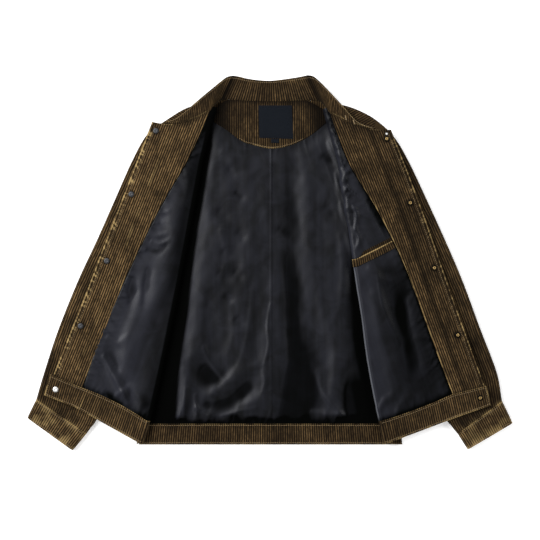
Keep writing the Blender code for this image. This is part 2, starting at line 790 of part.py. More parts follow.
def centre_on_plan(parent):
    """Moves the jacket so that the middle of its box stands over the origin."""
    bpy.context.view_layer.update()
    corners = []
    for item in bpy.data.collections["corduroy_jacket"].objects:
        if item.type == "MESH":
            corners += [item.matrix_world @ vertex.co for vertex in item.data.vertices]
    points = np.array([tuple(corner) for corner in corners])
    middle = (points.min(axis=0) + points.max(axis=0)) / 2
    parent.location = (-middle[0], -middle[1], 0.0)


def main():
    clear_scene()
    jacket = bpy.data.collections.new("corduroy_jacket")
    bpy.context.scene.collection.children.link(jacket)
    root = bpy.data.objects.new("jacket", None)
    jacket.objects.link(root)
    cloth, satin, woven, nickel, bright, brass = (make_material(name, *look) for name, look in FINISHES.items())

    build_back(cloth, root)
    build_back_lining("right", satin, root)
    build_back_lining("left", satin, root)
    build_neck_facing(cloth, root)
    build_back_band(cloth, root)
    on_facing = CORDUROY + SEAM_GAP + CORDUROY + SEAM_GAP
    build_patch("label", LABEL, on_facing, LABEL_THICK, woven, root)
    build_patch("size_tab", SIZE_TAB, on_facing, SIZE_TAB_THICK, woven, root)
    for side, metal, band_metal in (("right", nickel, bright), ("left", brass, brass)):
        build_fronts(side, cloth, satin, root)
        build_front_band(side, cloth, root)
        build_sleeve(side, cloth, root)
        build_cuff(side, cloth, root)
        build_snaps(side, metal, band_metal, nickel, root)
    build_collar(cloth, root)
    build_welt(cloth, root)
    centre_on_plan(root)


main()
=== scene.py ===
"""A corduroy jacket that lies open on its back, its fronts turned out over the sleeves.

The cloth, lining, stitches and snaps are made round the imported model. Tables and
sizes are in millimetres unless a name says otherwise, and meshes are in metres.
Right and left are the wearer's: the right front lies at -X. The neck is at +Y.
"""

import math
from collections import namedtuple

import bpy
import numpy as np
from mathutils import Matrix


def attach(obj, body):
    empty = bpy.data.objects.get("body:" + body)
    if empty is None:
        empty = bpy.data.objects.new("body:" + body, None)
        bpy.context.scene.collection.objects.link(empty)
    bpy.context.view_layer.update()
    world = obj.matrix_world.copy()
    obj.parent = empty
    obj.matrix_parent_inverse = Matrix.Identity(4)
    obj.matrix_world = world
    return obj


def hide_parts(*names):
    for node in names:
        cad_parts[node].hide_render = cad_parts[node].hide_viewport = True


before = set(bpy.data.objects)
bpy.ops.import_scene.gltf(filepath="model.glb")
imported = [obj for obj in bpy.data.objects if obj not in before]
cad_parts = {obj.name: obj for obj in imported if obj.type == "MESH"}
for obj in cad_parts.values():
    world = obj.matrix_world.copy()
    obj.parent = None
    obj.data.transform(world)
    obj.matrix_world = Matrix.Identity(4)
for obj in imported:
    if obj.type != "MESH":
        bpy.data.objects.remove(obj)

bl_info = {
    "name": "Corduroy jacket",
    "version": (1, 0, 0),
    "blender": (4, 5, 0),
    "location": "3D View > Sidebar > Jacket",
    "description": "Cloth, lining, stitches and snaps of a corduroy jacket that lies open",
    "category": "Add Mesh",
}

MM = 0.001
PLAN_SHIFT = np.array((0.0, 0.5, 0.0))
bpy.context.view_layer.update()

# Cloth
CORDUROY = 2.2
SATIN = 1.0
BAND = 4.2
COLLAR = 4.6
SEAM_GAP = 0.3
SEAM_LIFT = 0.45

# Heights of the face between a front's corduroy and its lining
OVER_FOLD = 17.6
UNDER_FOLD = 5.6
BAND_UNDER_FOLD = 6.75
BAND_INNER = BAND / 2 + 0.15
BAND_OUTER = BAND_INNER - BAND

# Where the right front's band is joined, along it from the front edge
BAND_JOIN = 74

PLACKET_WIDTH = 38.0
FACING_STOP = 96.0
ARMPIT = 0.5
CENTRE_SEAM = 4.0
LINING_PUFF = 1.6
LINING_TOP = 0.94
SLEEVE_DOME = 1.2
RAGLAN_HEIGHT = UNDER_FOLD + CORDUROY
YOKE_START = 0.77

# Lengths on the plan: the hem line, and what a share of the way up stands for
HEM = -304.0
BACK_REACH = 618.0
FRONT_REACH = 560
EDGE_REACH = 512
SLEEVE_REACH = 590
BAND_WIDTH = 38.0
CUFF_WIDTH = 39.0
COLLAR_REACH = 44
WELT_REACH = 8.4

# Half the share of a fold over which its direction is taken
RUN_REACH = 0.02

# The two stitch lines of a band or cuff: how far in they lie, and their shares of its width
QUILT_AT = 3.2
QUILT_SHARES = (0.085, 0.915)

SIDES = ("right", "left")

# The way that the lit sides of the folds face, on the plan
LIT_WAY = np.array((-0.88, 0.47))

Front = namedtuple("Front", "inward placket facing fold neck_bow hem_bow side band_end band_low")
Low = namedtuple("Low", "placket facing fold side")
Rows = namedtuple(
    "Rows", "placket facing fold side inward bow_outer bow_inner curls under landing reach edge")
Ripple = namedtuple("Ripple", "x0 y0 x1 y1 width height")
Section = namedtuple("Section", "outer inner height")
NeckSection = namedtuple("NeckSection", "seam_x seam_y top_x top_y floor top_floor")
FrontSection = namedtuple("FrontSection", "place top_x top_y floor top_floor")
Cut = namedtuple("Cut", "width length area held rests_on")

FRONTS = {
    "right": Front(
        inward=1,
        placket=[(-407, -212), (-376, -134), (-344, -54), (-314, 25), (-283, 105), (-252, 185), (-221, 264)],
        facing=[(-352, -235), (-323, -148), (-286, -62), (-246, 24), (-202, 111), (-152, 197), (-113, 284)],
        fold=[(-225, -298), (-202, -197), (-182, -99), (-162, 0), (-144, 99), (-125, 197), (-100, 291)],
        neck_bow=-13.0,
        hem_bow=4.5,
        side=[(-247, -304), (-205, -1), (-121, 300)],
        band_end=6.0,
        band_low=Low((-424, -249), (-367, -271), (-238, -340.5), (-252, -343)),
    ),
    "left": Front(
        inward=-1,
        placket=[(403, -232), (374, -152), (345, -72), (317, 8), (289, 89), (259, 169), (227, 249)],
        facing=[(342, -247), (309, -160), (279, -74), (244, 13), (200, 100), (148, 187), (112, 281)],
        fold=[(204, -298), (185, -198), (171, -100), (156, -1), (143, 97), (126, 196), (99, 288)],
        neck_bow=-10.5,
        hem_bow=-2.5,
        side=[(245, -304), (205, -1), (121, 300)],
        band_end=3.0,
        band_low=Low((415, -268), (352, -290), (213, -341), (250, -343)),
    ),
}

# Ridges (height above 0) and troughs of the turned-out fronts, as in the solids
FRONT_RIPPLES = [
    Ripple(-190, -250, -165, -120, 14, 1.6),
    Ripple(-215, -70, -180, 60, 16, 1.4),
    Ripple(-175, 90, -150, 190, 12, 1.2),
    Ripple(-300, -190, -262, -90, 18, -0.7),
    Ripple(-225, 20, -190, 110, 12, -0.7),
    Ripple(-330, -20, -290, 80, 22, 1.1),
    Ripple(300, -240, 262, -110, 20, 1.4),
    Ripple(238, -240, 205, -110, 14, -0.7),
    Ripple(215, -120, 190, -30, 14, 1.2),
    Ripple(190, 40, 160, 150, 14, 1.3),
    Ripple(330, -110, 300, 0, 20, 1.0),
]

# Creases in the satin of the fronts: lines of (x, y, width, height) stops
FRONT_CREASES = {
    "right": [
        [(-236, -40, 15, 1.6), (-248, -90, 17, 2.4), (-266, -150, 16, 2.6), (-276, -205, 12, 1.8)],
        [(-312, -176, 4, 1.6), (-296, -206, 5, 3.4), (-276, -244, 6, 3.2), (-268, -262, 4, 1.6)],
        [(-292, -252, 5, 1.4), (-262, -236, 6, 2.2), (-240, -262, 5, 1.8)],
        [(-304, -140, 4, 0.8), (-286, -150, 5, 1.3), (-270, -138, 4, 0.6)],
        [(-304, -172, 6, -1.0), (-286, -198, 8, -1.9), (-267, -234, 8, -1.9), (-261, -256, 6, -1.0)],
        [(-306, -244, 4, -1.8), (-294, -253, 5, -3.2), (-280, -262, 4, -1.8)],
        [(-258, -32, 5, -1.2), (-260, -52, 7, -2.4), (-262, -74, 5, -1.2)],
        [(-228, -16, 6, -1.2), (-232, -44, 8, -2.6), (-236, -76, 6, -1.4)],
        [(-236, 56, 3, 0.9), (-216, 50, 3.5, 1.4), (-196, 54, 3, 0.7)],
        [(-230, 24, 3, -0.9), (-214, 22, 4, -1.8), (-196, 30, 3.5, -0.9)],
        [(-196, 122, 9, 0.8), (-186, 84, 11, 1.3), (-178, 40, 11, 0.9)],
        [(-158, 186, 8, 0.7), (-152, 150, 9, 1.2), (-160, 110, 9, 0.7)],
        [(-214, 100, 2.2, 0.6), (-202, 94, 2.6, 1.1), (-190, 96, 2.2, 0.5)],
        [(-222, 40, 2.2, 0.8), (-206, 36, 2.4, 1.4), (-190, 42, 2.2, 0.6)],
    ],
    "left": [
        [(186, -10, 5, 1.2), (206, -30, 7, 2.2), (226, -34, 6, 1.4)],
        [(196, -60, 12, 1.8), (208, -130, 14, 3.0), (222, -190, 13, 3.0), (232, -240, 9, 2.0)],
        [(262, -70, 9, 1.6), (276, -130, 10, 2.4), (290, -190, 9, 1.8)],
        [(205, -274, 4, 1.6), (213, -258, 5, 2.2), (224, -252, 5, 1.2)],
        [(238, -284, 4, 1.0), (246, -262, 5, 1.4), (262, -250, 5, 0.8)],
        [(201, -20, 3, 0.6), (213, -84, 4, 1.4), (240, -146, 4, 0.8)],
        [(127, 220, 3, 1.6), (131, 204, 3.5, 3.0), (136, 186, 3, 1.4)],
        [(133, 158, 3, 1.4), (136, 138, 3.5, 3.4), (139, 116, 3, 1.6)],
        [(136, 152, 3, 1.4), (142, 168, 3.5, 3.0), (156, 178, 3, 1.6)],
        [(146, 118, 3, 1.4), (144, 100, 3.5, 3.2), (149, 72, 3, 1.6)],
        [(154, 110, 3, 1.2), (162, 88, 3.5, 3.0), (158, 60, 3, 1.4)],
        [(160, 62, 3, 1.4), (167, 44, 3.5, 2.8), (162, 28, 3, 1.2)],
        [(184, 116, 4, -1.0), (206, 76, 4.5, -2.4), (217, 52, 4, -1.0)],
        [(172, 150, 5, -0.8), (182, 128, 5, -1.8), (188, 104, 5, -0.8)],
        [(226, -20, 16, -0.8), (242, -90, 24, -1.5), (262, -170, 24, -1.5), (270, -230, 18, -1.0)],
    ],
}

# Rubbed creases on the facings
FACING_CREASES = {
    "right": [
        [(-218, 170, 2.0, 0.5), (-228, 150, 2.4, 1.0), (-244, 114, 2.2, 0.9), (-258, 84, 2.4, 1.0),
         (-268, 30, 2.2, 0.5)],
        [(-273, -24, 2.0, 0.6), (-283, -44, 2.4, 1.0), (-300, -60, 2.0, 0.5)],
        [(-296, -98, 2.0, 0.4), (-306, -130, 2.2, 0.8), (-318, -160, 2.0, 0.4)],
    ],
    "left": [
        [(232, 168, 2.6, 0.4), (244, 140, 2.8, 0.6), (258, 104, 2.6, 0.4)],
    ],
}

# Soft folds in the back lining, as in the solids
LINING_RIPPLES = [
    Ripple(-172, -292, -160, -205, 8, 4.5),
    Ripple(-118, -245, -30, -195, 9, 3.6),
    Ripple(-105, -285, -35, -262, 8, 3.2),
    Ripple(-140, -180, -95, 60, 14, 2.2),
    Ripple(-95, -120, -78, 150, 12, 2.0),
    Ripple(-48, -170, -40, 190, 13, 1.8),
    Ripple(-10, -210, -8, 180, 9, 1.2),
    Ripple(30, -250, 34, 60, 12, -1.0),
    Ripple(62, -290, 68, 150, 12, 2.6),
    Ripple(95, -180, 92, 120, 9, -1.0),
    Ripple(130, -285, 118, 90, 12, 2.6),
    Ripple(176, -290, 150, -120, 10, 2.0),
]

# Creases in the back lining: lines of (x, y, width, height) stops
BACK_CREASES = [
    [(-98, 206, 11, 0.8), (-105, 160, 13, 1.3), (-113, 90, 15, 1.8), (-122, 20, 16, 2.2),
     (-132, -55, 17, 2.6), (-141, -140, 17, 3.0), (-149, -200, 14, 3.2), (-160, -246, 9, 3.2),
     (-170, -290, 4, 3.0)],
    [(-116, -60, 8, -1.2), (-117, -120, 9, -2.0), (-112, -160, 8, -1.6)],
    [(-125, -160, 3, 0.8), (-114, -187, 3, 1.6), (-98, -211, 3.5, 1.6), (-86, -222, 4, 0.8)],
    [(-146, -196, 15, -2.7), (-126, -207, 19, -4.2), (-98, -220, 14, -3.6)],
    [(-70, -80, 12, 1.8), (-66, -125, 14, 2.6), (-76, -170, 11, 1.6)],
    [(-29, -30, 5, 0.5), (-42, -134, 5, 0.8), (-54, -183, 7, 1.2), (-66, -206, 11, 2.2), (-86, -232, 13, 2.6),
     (-108, -250, 9, 2.0)],
    [(-118, -268, 9, -1.8), (-80, -262, 11, -2.9), (-44, -234, 10, -2.6)],
    [(8, -20, 11, 0.8), (5, -98, 16, 2.2), (-2, -163, 19, 3.2), (-7, -218, 19, 3.4), (-16, -254, 17, 3.0),
     (-50, -276, 12, 2.2), (-94, -294, 7, 1.4)],
    [(0, -78, 1.8, 0.7), (-5, -118, 1.8, 1.1), (-3, -155, 1.8, 1.0), (-11, -192, 2.2, 0.6)],
    [(-92, -290, 2.5, 0.8), (-60, -281, 3, 1.4), (-28, -274, 3, 0.8)],
    [(-14, -204, 3, 0.6), (-10, -224, 3.5, 1.4), (-15, -244, 3, 0.8)],
    [(36, 206, 10, -0.8), (38, 100, 13, -1.5), (35, -20, 13, -2.2), (40, -110, 14, -3.2),
     (47, -180, 19, -4.0), (42, -235, 24, -4.8), (38, -285, 23, -4.6)],
    [(106, 216, 9, -0.5), (120, 188, 10, -0.9), (126, 160, 9, -0.5)],
    [(56, 213, 12, 0.9), (74, 150, 18, 1.6), (78, 80, 20, 2.0), (82, 10, 19, 2.4), (88, -45, 18, 2.6),
     (107, -105, 18, 3.4), (125, -155, 17, 3.6), (123, -205, 14, 3.0), (117, -246, 9, 2.0)],
    [(134, 50, 8, 1.2), (139, 0, 9, 2.6), (137, -50, 9, 2.4), (132, -90, 8, 1.2)],
    [(150, -204, 11, -1.8), (151, -248, 18, -3.2), (152, -290, 16, -3.0)],
    [(90, -206, 7, 1.0), (98, -240, 4, 1.8), (110, -260, 3.5, 2.2), (136, -288, 3, 1.6)],
    [(78, -280, 4, 1.0), (104, -285, 5, 1.9), (132, -288, 4, 1.1)],
    [(-16, 122, 15, 0.8), (-29, 66, 18, 1.5), (-46, 32, 17, 1.7), (-47, -8, 17, 2.0), (-76, -54, 15, 1.2)],
    [(-88, 208, 9, 1.4), (-74, 192, 10, 2.2), (-62, 168, 9, 1.2)],
    [(-92, 60, 7, 1.0), (-80, 10, 8, 1.4), (-90, -20, 7, 0.8)],
    [(-158, -236, 2.5, 1.0), (-161, -265, 3, 2.2), (-162, -292, 2.5, 1.6)],
    [(-142, -250, 2.5, 1.2), (-140, -276, 3, 2.2), (-139, -296, 2.5, 1.0)],
    [(-139, -272, 3, 1.4), (-124, -284, 3.5, 2.4), (-108, -293, 3, 1.4)],
    [(-186, -284, 4, 1.0), (-180, -240, 6, 1.4), (-172, -190, 6, 0.8)],
    [(110, 226, 3.5, 1.6), (118, 206, 4, 3.6), (123, 188, 3, 1.4)],
    [(124, 168, 3, 1.4), (129, 144, 4, 4.0), (135, 118, 3, 1.4)],
    [(132, 110, 3, 1.4), (138, 88, 4, 3.8), (146, 62, 3, 1.2)],
    [(143, 52, 3, 1.4), (149, 34, 4, 3.2), (154, 12, 3, 1.2)],
]

# Small dents in the back lining: x, y, size
BACK_DENTS = [
    (-71, 172, 8), (-60, 127, 5), (-92, 92, 6), (-56, 52, 6), (-83, 16, 6), (-92, -24, 5), (-62, -22, 6),
    (-80, -68, 5), (-58, -110, 5), (22, 60, 6), (104, 196, 6), (110, 96, 8),
]

# The lit edge of the back lining beside the right fold: where its shadow ends
SHADOW_EDGE = [(-177, -300), (-170, -204), (-163, -152), (-154, -100), (-147, -30), (-142, 8), (-134, 70),
               (-125, 118), (-118, 165), (-108, 221)]

SLEEVES = {
    "right": [
        Section((-440, -257), (-345, -322), 12.4),
        Section((-425, -206), (-320, -285), 12.4),
        Section((-399, -127), (-295, -217), 12.4),
        Section((-362, -35), (-269, -149), 12.4),
        Section((-327, 40), (-250, -95), 12.4),
        Section((-292, 119), (-237, -54), 12.4),
        Section((-259, 193), (-226, -27), 11.8),
        Section((-231, 242), (-219, -14), 11.0),
        Section((-196, 268), (-213, -7), 10.0),
        Section((-158, 291), (-209, -3), 9.0),
    ],
    "left": [
        Section((437, -260), (353, -322), 12.4),
        Section((427, -206), (325, -285), 12.4),
        Section((397, -127), (299, -217), 12.4),
        Section((363, -35), (273, -149), 12.4),
        Section((331, 40), (252, -95), 12.4),
        Section((295, 119), (238, -54), 12.4),
        Section((260, 193), (226, -27), 11.8),
        Section((232, 239), (219, -14), 11.0),
        Section((195, 272), (213, -7), 10.0),
        Section((156, 291.5), (209, -3), 9.0),
    ],
}

# Creases pressed into the tops of the sleeves
SLEEVE_RIPPLES = [
    Ripple(376, -159, 427, -257, 6, -2.6),
    Ripple(318, -60, 372, -150, 14, -1.6),
    Ripple(400, -262, 360, -300, 10, -1.8),
    Ripple(262, 60, 250, -40, 14, -1.6),
    Ripple(-412, -160, -424, -250, 9, -2.0),
    Ripple(-372, -262, -395, -283, 9, -1.8),
    Ripple(-330, -190, -352, -250, 12, -1.4),
    Ripple(-262, 60, -250, -40, 14, -1.6),
]

CUFFS = {
    "right": [Section((-440, -257), (-345, -322), 14.4), Section((-457, -292), (-371, -354), 14.0)],
    "left": [Section((437, -260), (353, -322), 14.4), Section((457, -302), (372, -352), 14.0)],
}

COLLAR_FRONTS = {
    "right": [
        FrontSection(0.6, -196, 264, 15.4, 15.4),
        FrontSection(1, -177, 270, 15.4, 14.6),
        FrontSection(4 / 3, -156, 286.5, 15.4, 14.0),
        FrontSection(5 / 3, -131, 308, 15.4, 13.8),
        FrontSection(2, -107, 328, 15.4, 13.8),
        FrontSection(3, -90, 342, 14.8, 12.6),
    ],
    "left": [
        FrontSection(0.9, 193.5, 252.5, 15.4, 15.4),
        FrontSection(1, 187, 254, 15.4, 15.2),
        FrontSection(4 / 3, 163, 265, 15.4, 14.0),
        FrontSection(5 / 3, 136, 295, 15.4, 13.8),
        FrontSection(2, 106, 327, 15.4, 13.8),
        FrontSection(3, 92, 341, 14.8, 12.6),
    ],
}
COLLAR_BACK = [
    NeckSection(-100, 301, -81, 349, 9.6, 7.6),
    NeckSection(-93, 306, -72, 352, 3.4, 2.6),
    NeckSection(-85, 307.6, -65, 352, 0, 0),
    NeckSection(-73, 307.4, -55, 350, 0, 0),
    NeckSection(-56, 306.6, -43, 347, 0, 0),
    NeckSection(-28, 305.4, -21, 344, 0, 0),
    NeckSection(0, 304.8, 0, 343, 0, 0),
    NeckSection(28, 305.4, 21, 345, 0, 0),
    NeckSection(56, 306.4, 43, 348, 0, 0),
    NeckSection(73, 307.0, 55, 350, 0, 0),
    NeckSection(85, 307.0, 65, 352, 0, 0),
    NeckSection(93, 304.6, 72, 353, 3.4, 2.6),
    NeckSection(100, 299, 82, 350, 9.6, 7.6),
]

# Where the collar folds over from the back to the fronts, from its top edge down
COLLAR_BEND = {
    "right": [(-109, 262), (-107, 271.7), (-101.5, 294), (-92, 309), (-81, 332), (-71, 353)],
    "left": [(111, 256), (99.6, 287), (90, 313), (81, 332), (71, 353)],
}

NECK_SEAM = [(-121, 299.7), (-100, 300), (-85, 306.5), (-60, 306), (-30, 304.6), (0, 304),
             (30, 304.6), (60, 306), (85, 306), (100, 298), (121, 299.7)]
NECK_FACING_TOP = [(-99, 293), (-84, 305.5), (-56, 305.5), (-28, 304),
                   (4, 303.5), (41, 304), (70, 305), (98, 290)]
NECK_FACING_LOW = [(-108, 266), (-83, 251), (-53, 229), (-28, 221),
                   (4, 215), (41, 222), (77, 240), (110, 267)]

LABEL = [(-22, 296), (41, 296), (44, 233), (-20, 235)]
LABEL_THICK = 0.8
SIZE_TAB = [(2, 233.6), (17, 233.0), (17, 225), (2, 225.4)]
SIZE_TAB_THICK = 0.5

WELT_AT_FACING = 0.544
WELT_AT_FOLD = 0.502
WELT_HALF = 0.0150
WELT_THICK = 1.8

# The level on the welt, -1 at its low edge and 1.5 at the far one, where the sunk lip of the mouth starts
LIP_START = 0.62

# How much darker each strip of the front edges lies, as painted shade: the right front lighter, the left
# darker
FRONT_SHADE = {
    ("right", "placket"): -0.12, ("right", "facing"): -0.12,
    ("left", "placket"): 0.40, ("left", "facing"): 0.24,
}

SNAPS = {
    "right": [(-214, 247), (-260, 128), (-306, 3), (-355, -119), (-402, -238)],
    "left": [(219, 232), (263, 112), (308, -10), (352, -136), (394, -254)],
}

# The small rivet over the left front's top snap, and its size as a share of a snap
RIVET = (218.6, 241.2)
RIVET_SHARE = 0.55

SNAP_CORNERS = 28
CAP_THICK = 1.2

# The stitch line of the collar as a share of its height, and the height of the stitches underneath
COLLAR_STITCH = 0.895
UNDERSIDE = 0.34


# ---------------------------------------------------------------- plan and height

def unit(vector):
    return vector / np.linalg.norm(vector, axis=-1, keepdims=True)


def ease(value):
    """0 below 0, 1 above 1, and smooth between."""
    t = np.clip(value, 0.0, 1.0)
    return t * t * (3 - 2 * t)


def bell(distance, width):
    return np.exp(-(distance / width) ** 2)


def smooth_line(points, share):
    """Points at shares of a smooth line through the stops, which runs straight on past its ends."""
    stops = np.asarray(points, dtype=float)
    share = np.asarray(share, dtype=float)
    last = len(stops) - 1
    place = np.clip(share, 0.0, 1.0) * last
    index = np.minimum(place.astype(int), last - 1)
    t = (place - index)[..., None]
    padded = np.vstack([2 * stops[0] - stops[1], stops, 2 * stops[-1] - stops[-2]])
    before, here, after, beyond = (padded[index + step] for step in range(4))
    cubic = 3 * here - before - 3 * after + beyond
    square = 2 * before - 5 * here + 4 * after - beyond
    overrun = (share - np.clip(share, 0.0, 1.0))[..., None] * last * (after - here)
    return 0.5 * (2 * here + (after - before) * t + square * t ** 2 + cubic * t ** 3) + overrun


def broken_line(points, share):
    """Points at shares of straight stretches through evenly spaced stops."""
    stops = np.asarray(points, dtype=float)
    stations = np.linspace(0, 1, len(stops))
    return np.stack([np.interp(share, stations, stops[:, axis]) for axis in (0, 1)], axis=-1)


def ripple_height(x, y, ripples):
    """Sum of soft ridges and troughs over the plan."""
    total = np.zeros(np.broadcast(x, y).shape)
    for fold in ripples:
        run = np.array((fold.x1 - fold.x0, fold.y1 - fold.y0))
        length = np.linalg.norm(run)
        along = ((x - fold.x0) * run[0] + (y - fold.y0) * run[1]) / length
        across = ((x - fold.x0) * run[1] - (y - fold.y0) * run[0]) / length
        overrun = np.maximum(np.maximum(-along, along - length), 0.0)
        total += fold.height * np.exp(-(across ** 2 + overrun ** 2) / (2 * fold.width ** 2))
    return total


def crease_height(x, y, creases):
    """Sum of soft creases, each a smooth line of (x, y, width, height) stops, steeper on the lit side."""
    place = np.stack([x, y], axis=-1)
    total = np.zeros(x.shape)
    for stops in creases:
        line = smooth_line(stops, np.linspace(0, 1, 6 * len(stops)))
        start, run = line[:-1], np.diff(line, axis=0)
        reach = place[..., None, :] - start[:, :2]
        share = np.clip((reach * run[:, :2]).sum(axis=-1) / (run[:, :2] ** 2).sum(axis=-1), 0, 1)
        apart = np.linalg.norm(reach - share[..., None] * run[:, :2], axis=-1)
        near = apart.argmin(axis=-1)
        share, apart = (np.take_along_axis(value, near[..., None], -1)[..., 0] for value in (share, apart))
        spot, width, height = (start[near][..., part] + share[..., None] * run[near][..., part]
                               for part in (slice(0, 2), slice(2, 3), slice(3, 4)))
        lit_side = (place - spot) @ LIT_WAY / np.maximum(apart, 0.01)
        width = width[..., 0] * (1 - 0.38 * lit_side)
        total += height[..., 0] * np.exp(-apart ** 2 / (2 * width ** 2))
    return total


def over_height(x, y):
    """Height of the face between corduroy and lining on a turned-out front."""
    return OVER_FOLD + ripple_height(x, y, FRONT_RIPPLES)


def drift(x, y, size, seed):
    """Soft uneven hills from about -1 to 1, of a size across."""
    dice = np.random.RandomState(seed)
    total = np.zeros(np.broadcast(x, y).shape)
    waves = 6
    for _ in range(waves):
        angle = dice.uniform(0, 2 * math.pi)
        wave = size * dice.uniform(0.7, 1.6)
        start = dice.uniform(0, 2 * math.pi)
        total += np.sin((x * math.cos(angle) + y * math.sin(angle)) * 2 * math.pi / wave + start)
    return total / math.sqrt(waves) / 1.4


def puckers(along, away, spacing, reach, seed):
    """Short uneven gathers, from 0 to about 1, that fan out from a seam."""
    dice = np.random.RandomState(seed)
    total = np.zeros(np.broadcast(along, away).shape)
    for place in np.arange(along.min(), along.max(), spacing):
        centre = place + dice.uniform(-0.4, 0.4) * spacing
        lean = dice.uniform(-0.6, 0.6)
        width = dice.uniform(0.16, 0.34) * spacing
        long = reach * dice.uniform(0.35, 1.5)
        total += dice.uniform(0.2, 1.0) * bell(along - centre - lean * away, width) * np.exp(-away / long)
    return total


def lean(points):
    """How far a grid of points leans towards the lit side, -1 to 1, seen from above."""
    along_rows, along_columns = (np.gradient(points, axis=axis) for axis in (1, 0))
    normal = unit(np.cross(along_rows, along_columns))
    normal *= np.sign(np.median(normal[..., 2]))
    return normal[..., :2] @ LIT_WAY


def satin_tones(points):
    """Painted highlight and painted shade for a grid of satin, by how far it leans towards or away from the
    light.
    """
    tilt = lean(points)
    return 0.62 * np.tanh(1.4 * np.maximum(tilt, 0)), 0.85 * np.tanh(2.0 * np.maximum(-tilt, 0))


# ---------------------------------------------------------------- rows of a front

def front_rows(side, share):
    """What the rows of a front need, at shares of the way from hem to neck."""
    front = FRONTS[side]
    ahead = smooth_line(front.fold, np.minimum(share + RUN_REACH, 1))
    behind = smooth_line(front.fold, np.maximum(share - RUN_REACH, 0))
    run = unit(ahead - behind)
    return Rows(
        placket=smooth_line(front.placket, share),
        facing=smooth_line(front.facing, share),
        fold=smooth_line(front.fold, share),
        side=broken_line(front.side, share),
        inward=np.stack([run[:, 1], -run[:, 0]], axis=-1) * front.inward,
        bow_outer=front.neck_bow * share ** 4,
        bow_inner=front.hem_bow * (1 - share) ** 4,
        curls=share <= ARMPIT,
        under=UNDER_FOLD,
        landing=CORDUROY,
        reach=SEAM_GAP + SATIN,
        edge=CORDUROY,
    )


def band_rows(side, low):
    """The rows of a front's band, from its seam (low 0) to its lower edge (low 1)."""
    front = FRONTS[side]
    seam = front_rows(side, np.zeros(1))
    drop = np.array((0.0, -SEAM_LIFT))
    along = unit(seam.placket - seam.facing)
    seam_end = seam.placket + along * front.band_end
    top = [line + drop for line in (seam_end, seam.facing, seam.fold, seam.side)]
    points = [a + (np.asarray(b, dtype=float) - a) * low[:, None] for a, b in zip(top, front.band_low)]
    return Rows(
        *points,
        inward=np.repeat(seam.inward, len(low), axis=0),
        bow_outer=np.zeros(len(low)),
        bow_inner=front.hem_bow * (1 - low),
        curls=np.ones(len(low), dtype=bool),
        under=BAND_UNDER_FOLD,
        landing=-BAND_OUTER,
        reach=BAND_INNER,
        edge=-BAND_OUTER,
    )


def bowed(start, end, share, bow):
    """Points between two ends on lines that bow sideways."""
    chord = end - start
    upward = unit(np.stack([-chord[..., 1], chord[..., 0]], axis=-1))
    upward = np.where(upward[..., 1:] < 0, -upward, upward)
    return start + chord * share[..., None] + upward * (bow * 4 * share * (1 - share))[..., None]


def row_points(rows, place, offset):
    """Points on rows. place counts zones: placket, facing, lining, roll, under, curl.
    offset leaves the corduroy for the lining."""
    count = len(rows.fold)
    place = np.broadcast_to(place, (count, np.shape(place)[-1]))
    offset = np.broadcast_to(offset, place.shape)
    zone = np.minimum(place.astype(int), 5)
    t = place - zone

    def spread(points):
        return np.broadcast_to(points[:, None], place.shape + points.shape[1:])

    guess = rows.fold - rows.inward * (rows.reach + (OVER_FOLD - rows.under) / 2)
    radius = (over_height(guess[:, 0], guess[:, 1]) - rows.under) / 2
    turn = rows.fold - rows.inward * (radius + rows.reach)[:, None]
    strip = unit(turn - rows.side)
    curl = (rows.under - rows.landing) / 2
    curl_length = math.pi * (curl + rows.edge / 2)
    curl_start = rows.side + strip * np.where(rows.curls, curl + rows.edge, curl_length)[:, None]

    seam = spread(PLACKET_WIDTH / np.linalg.norm(rows.facing - rows.placket, axis=1))
    outer_share = np.where(zone == 0, t * seam, seam + t * (1 - seam))
    outer = bowed(spread(rows.placket), spread(rows.facing), outer_share, spread(rows.bow_outer))
    inner = bowed(spread(rows.facing), spread(turn), t, spread(rows.bow_inner))
    plan = np.where((zone < 2)[..., None], outer, inner)
    z = over_height(plan[..., 0], plan[..., 1]) + offset

    angle = math.pi * t
    bend = spread(radius) + offset
    roll = zone == 3
    rolled = spread(turn) + spread(rows.inward) * (bend * np.sin(angle))[..., None]
    plan = np.where(roll[..., None], rolled, plan)
    z = np.where(roll, rows.under + spread(radius) + bend * np.cos(angle), z)

    under = zone == 4
    tucked = spread(turn) + (spread(curl_start) - spread(turn)) * t[..., None]
    plan = np.where(under[..., None], tucked, plan)
    z = np.where(zone >= 4, rows.under - offset, z)

    curled = (zone == 5) & spread(rows.curls)
    straight = (zone == 5) & ~spread(rows.curls)
    hook = curl - offset
    hooked = spread(curl_start) - spread(strip) * (hook * np.sin(angle))[..., None]
    plan = np.where(curled[..., None], hooked, plan)
    z = np.where(curled, rows.under - curl + hook * np.cos(angle), z)
    laid = spread(curl_start) - spread(strip) * (curl_length * t)[..., None]
    plan = np.where(straight[..., None], laid, plan)
    return np.dstack([plan, z])


def front_point(side, share, place, offset):
    """One point of a front."""
    rows = front_rows(side, np.array([share], dtype=float))
    return row_points(rows, np.array([place], dtype=float), offset)[0, 0]


# ---------------------------------------------------------------- columns and rows of a mesh

def crown(across, pitch):
    """The rounded height of a wale, 0 in the groove and 1 on its crown."""
    return np.abs(np.sin(math.pi * across / pitch)) ** 0.75


def wale_size(cloth):
    """Pitch and depth of the wales in mm."""
    return cloth.wale_pitch / MM, cloth.wale_depth / MM


def grooves(across, pitch, depth):
    """How far the face sinks below the crowns of the wales."""
    return depth * (1 - crown(across, pitch))


def quilting(from_seam, from_edge):
    """How far the two stitch lines pull a band in."""
    return 0.5 * bell(from_seam - QUILT_AT, 0.9) + 0.5 * bell(from_edge - QUILT_AT, 0.9)


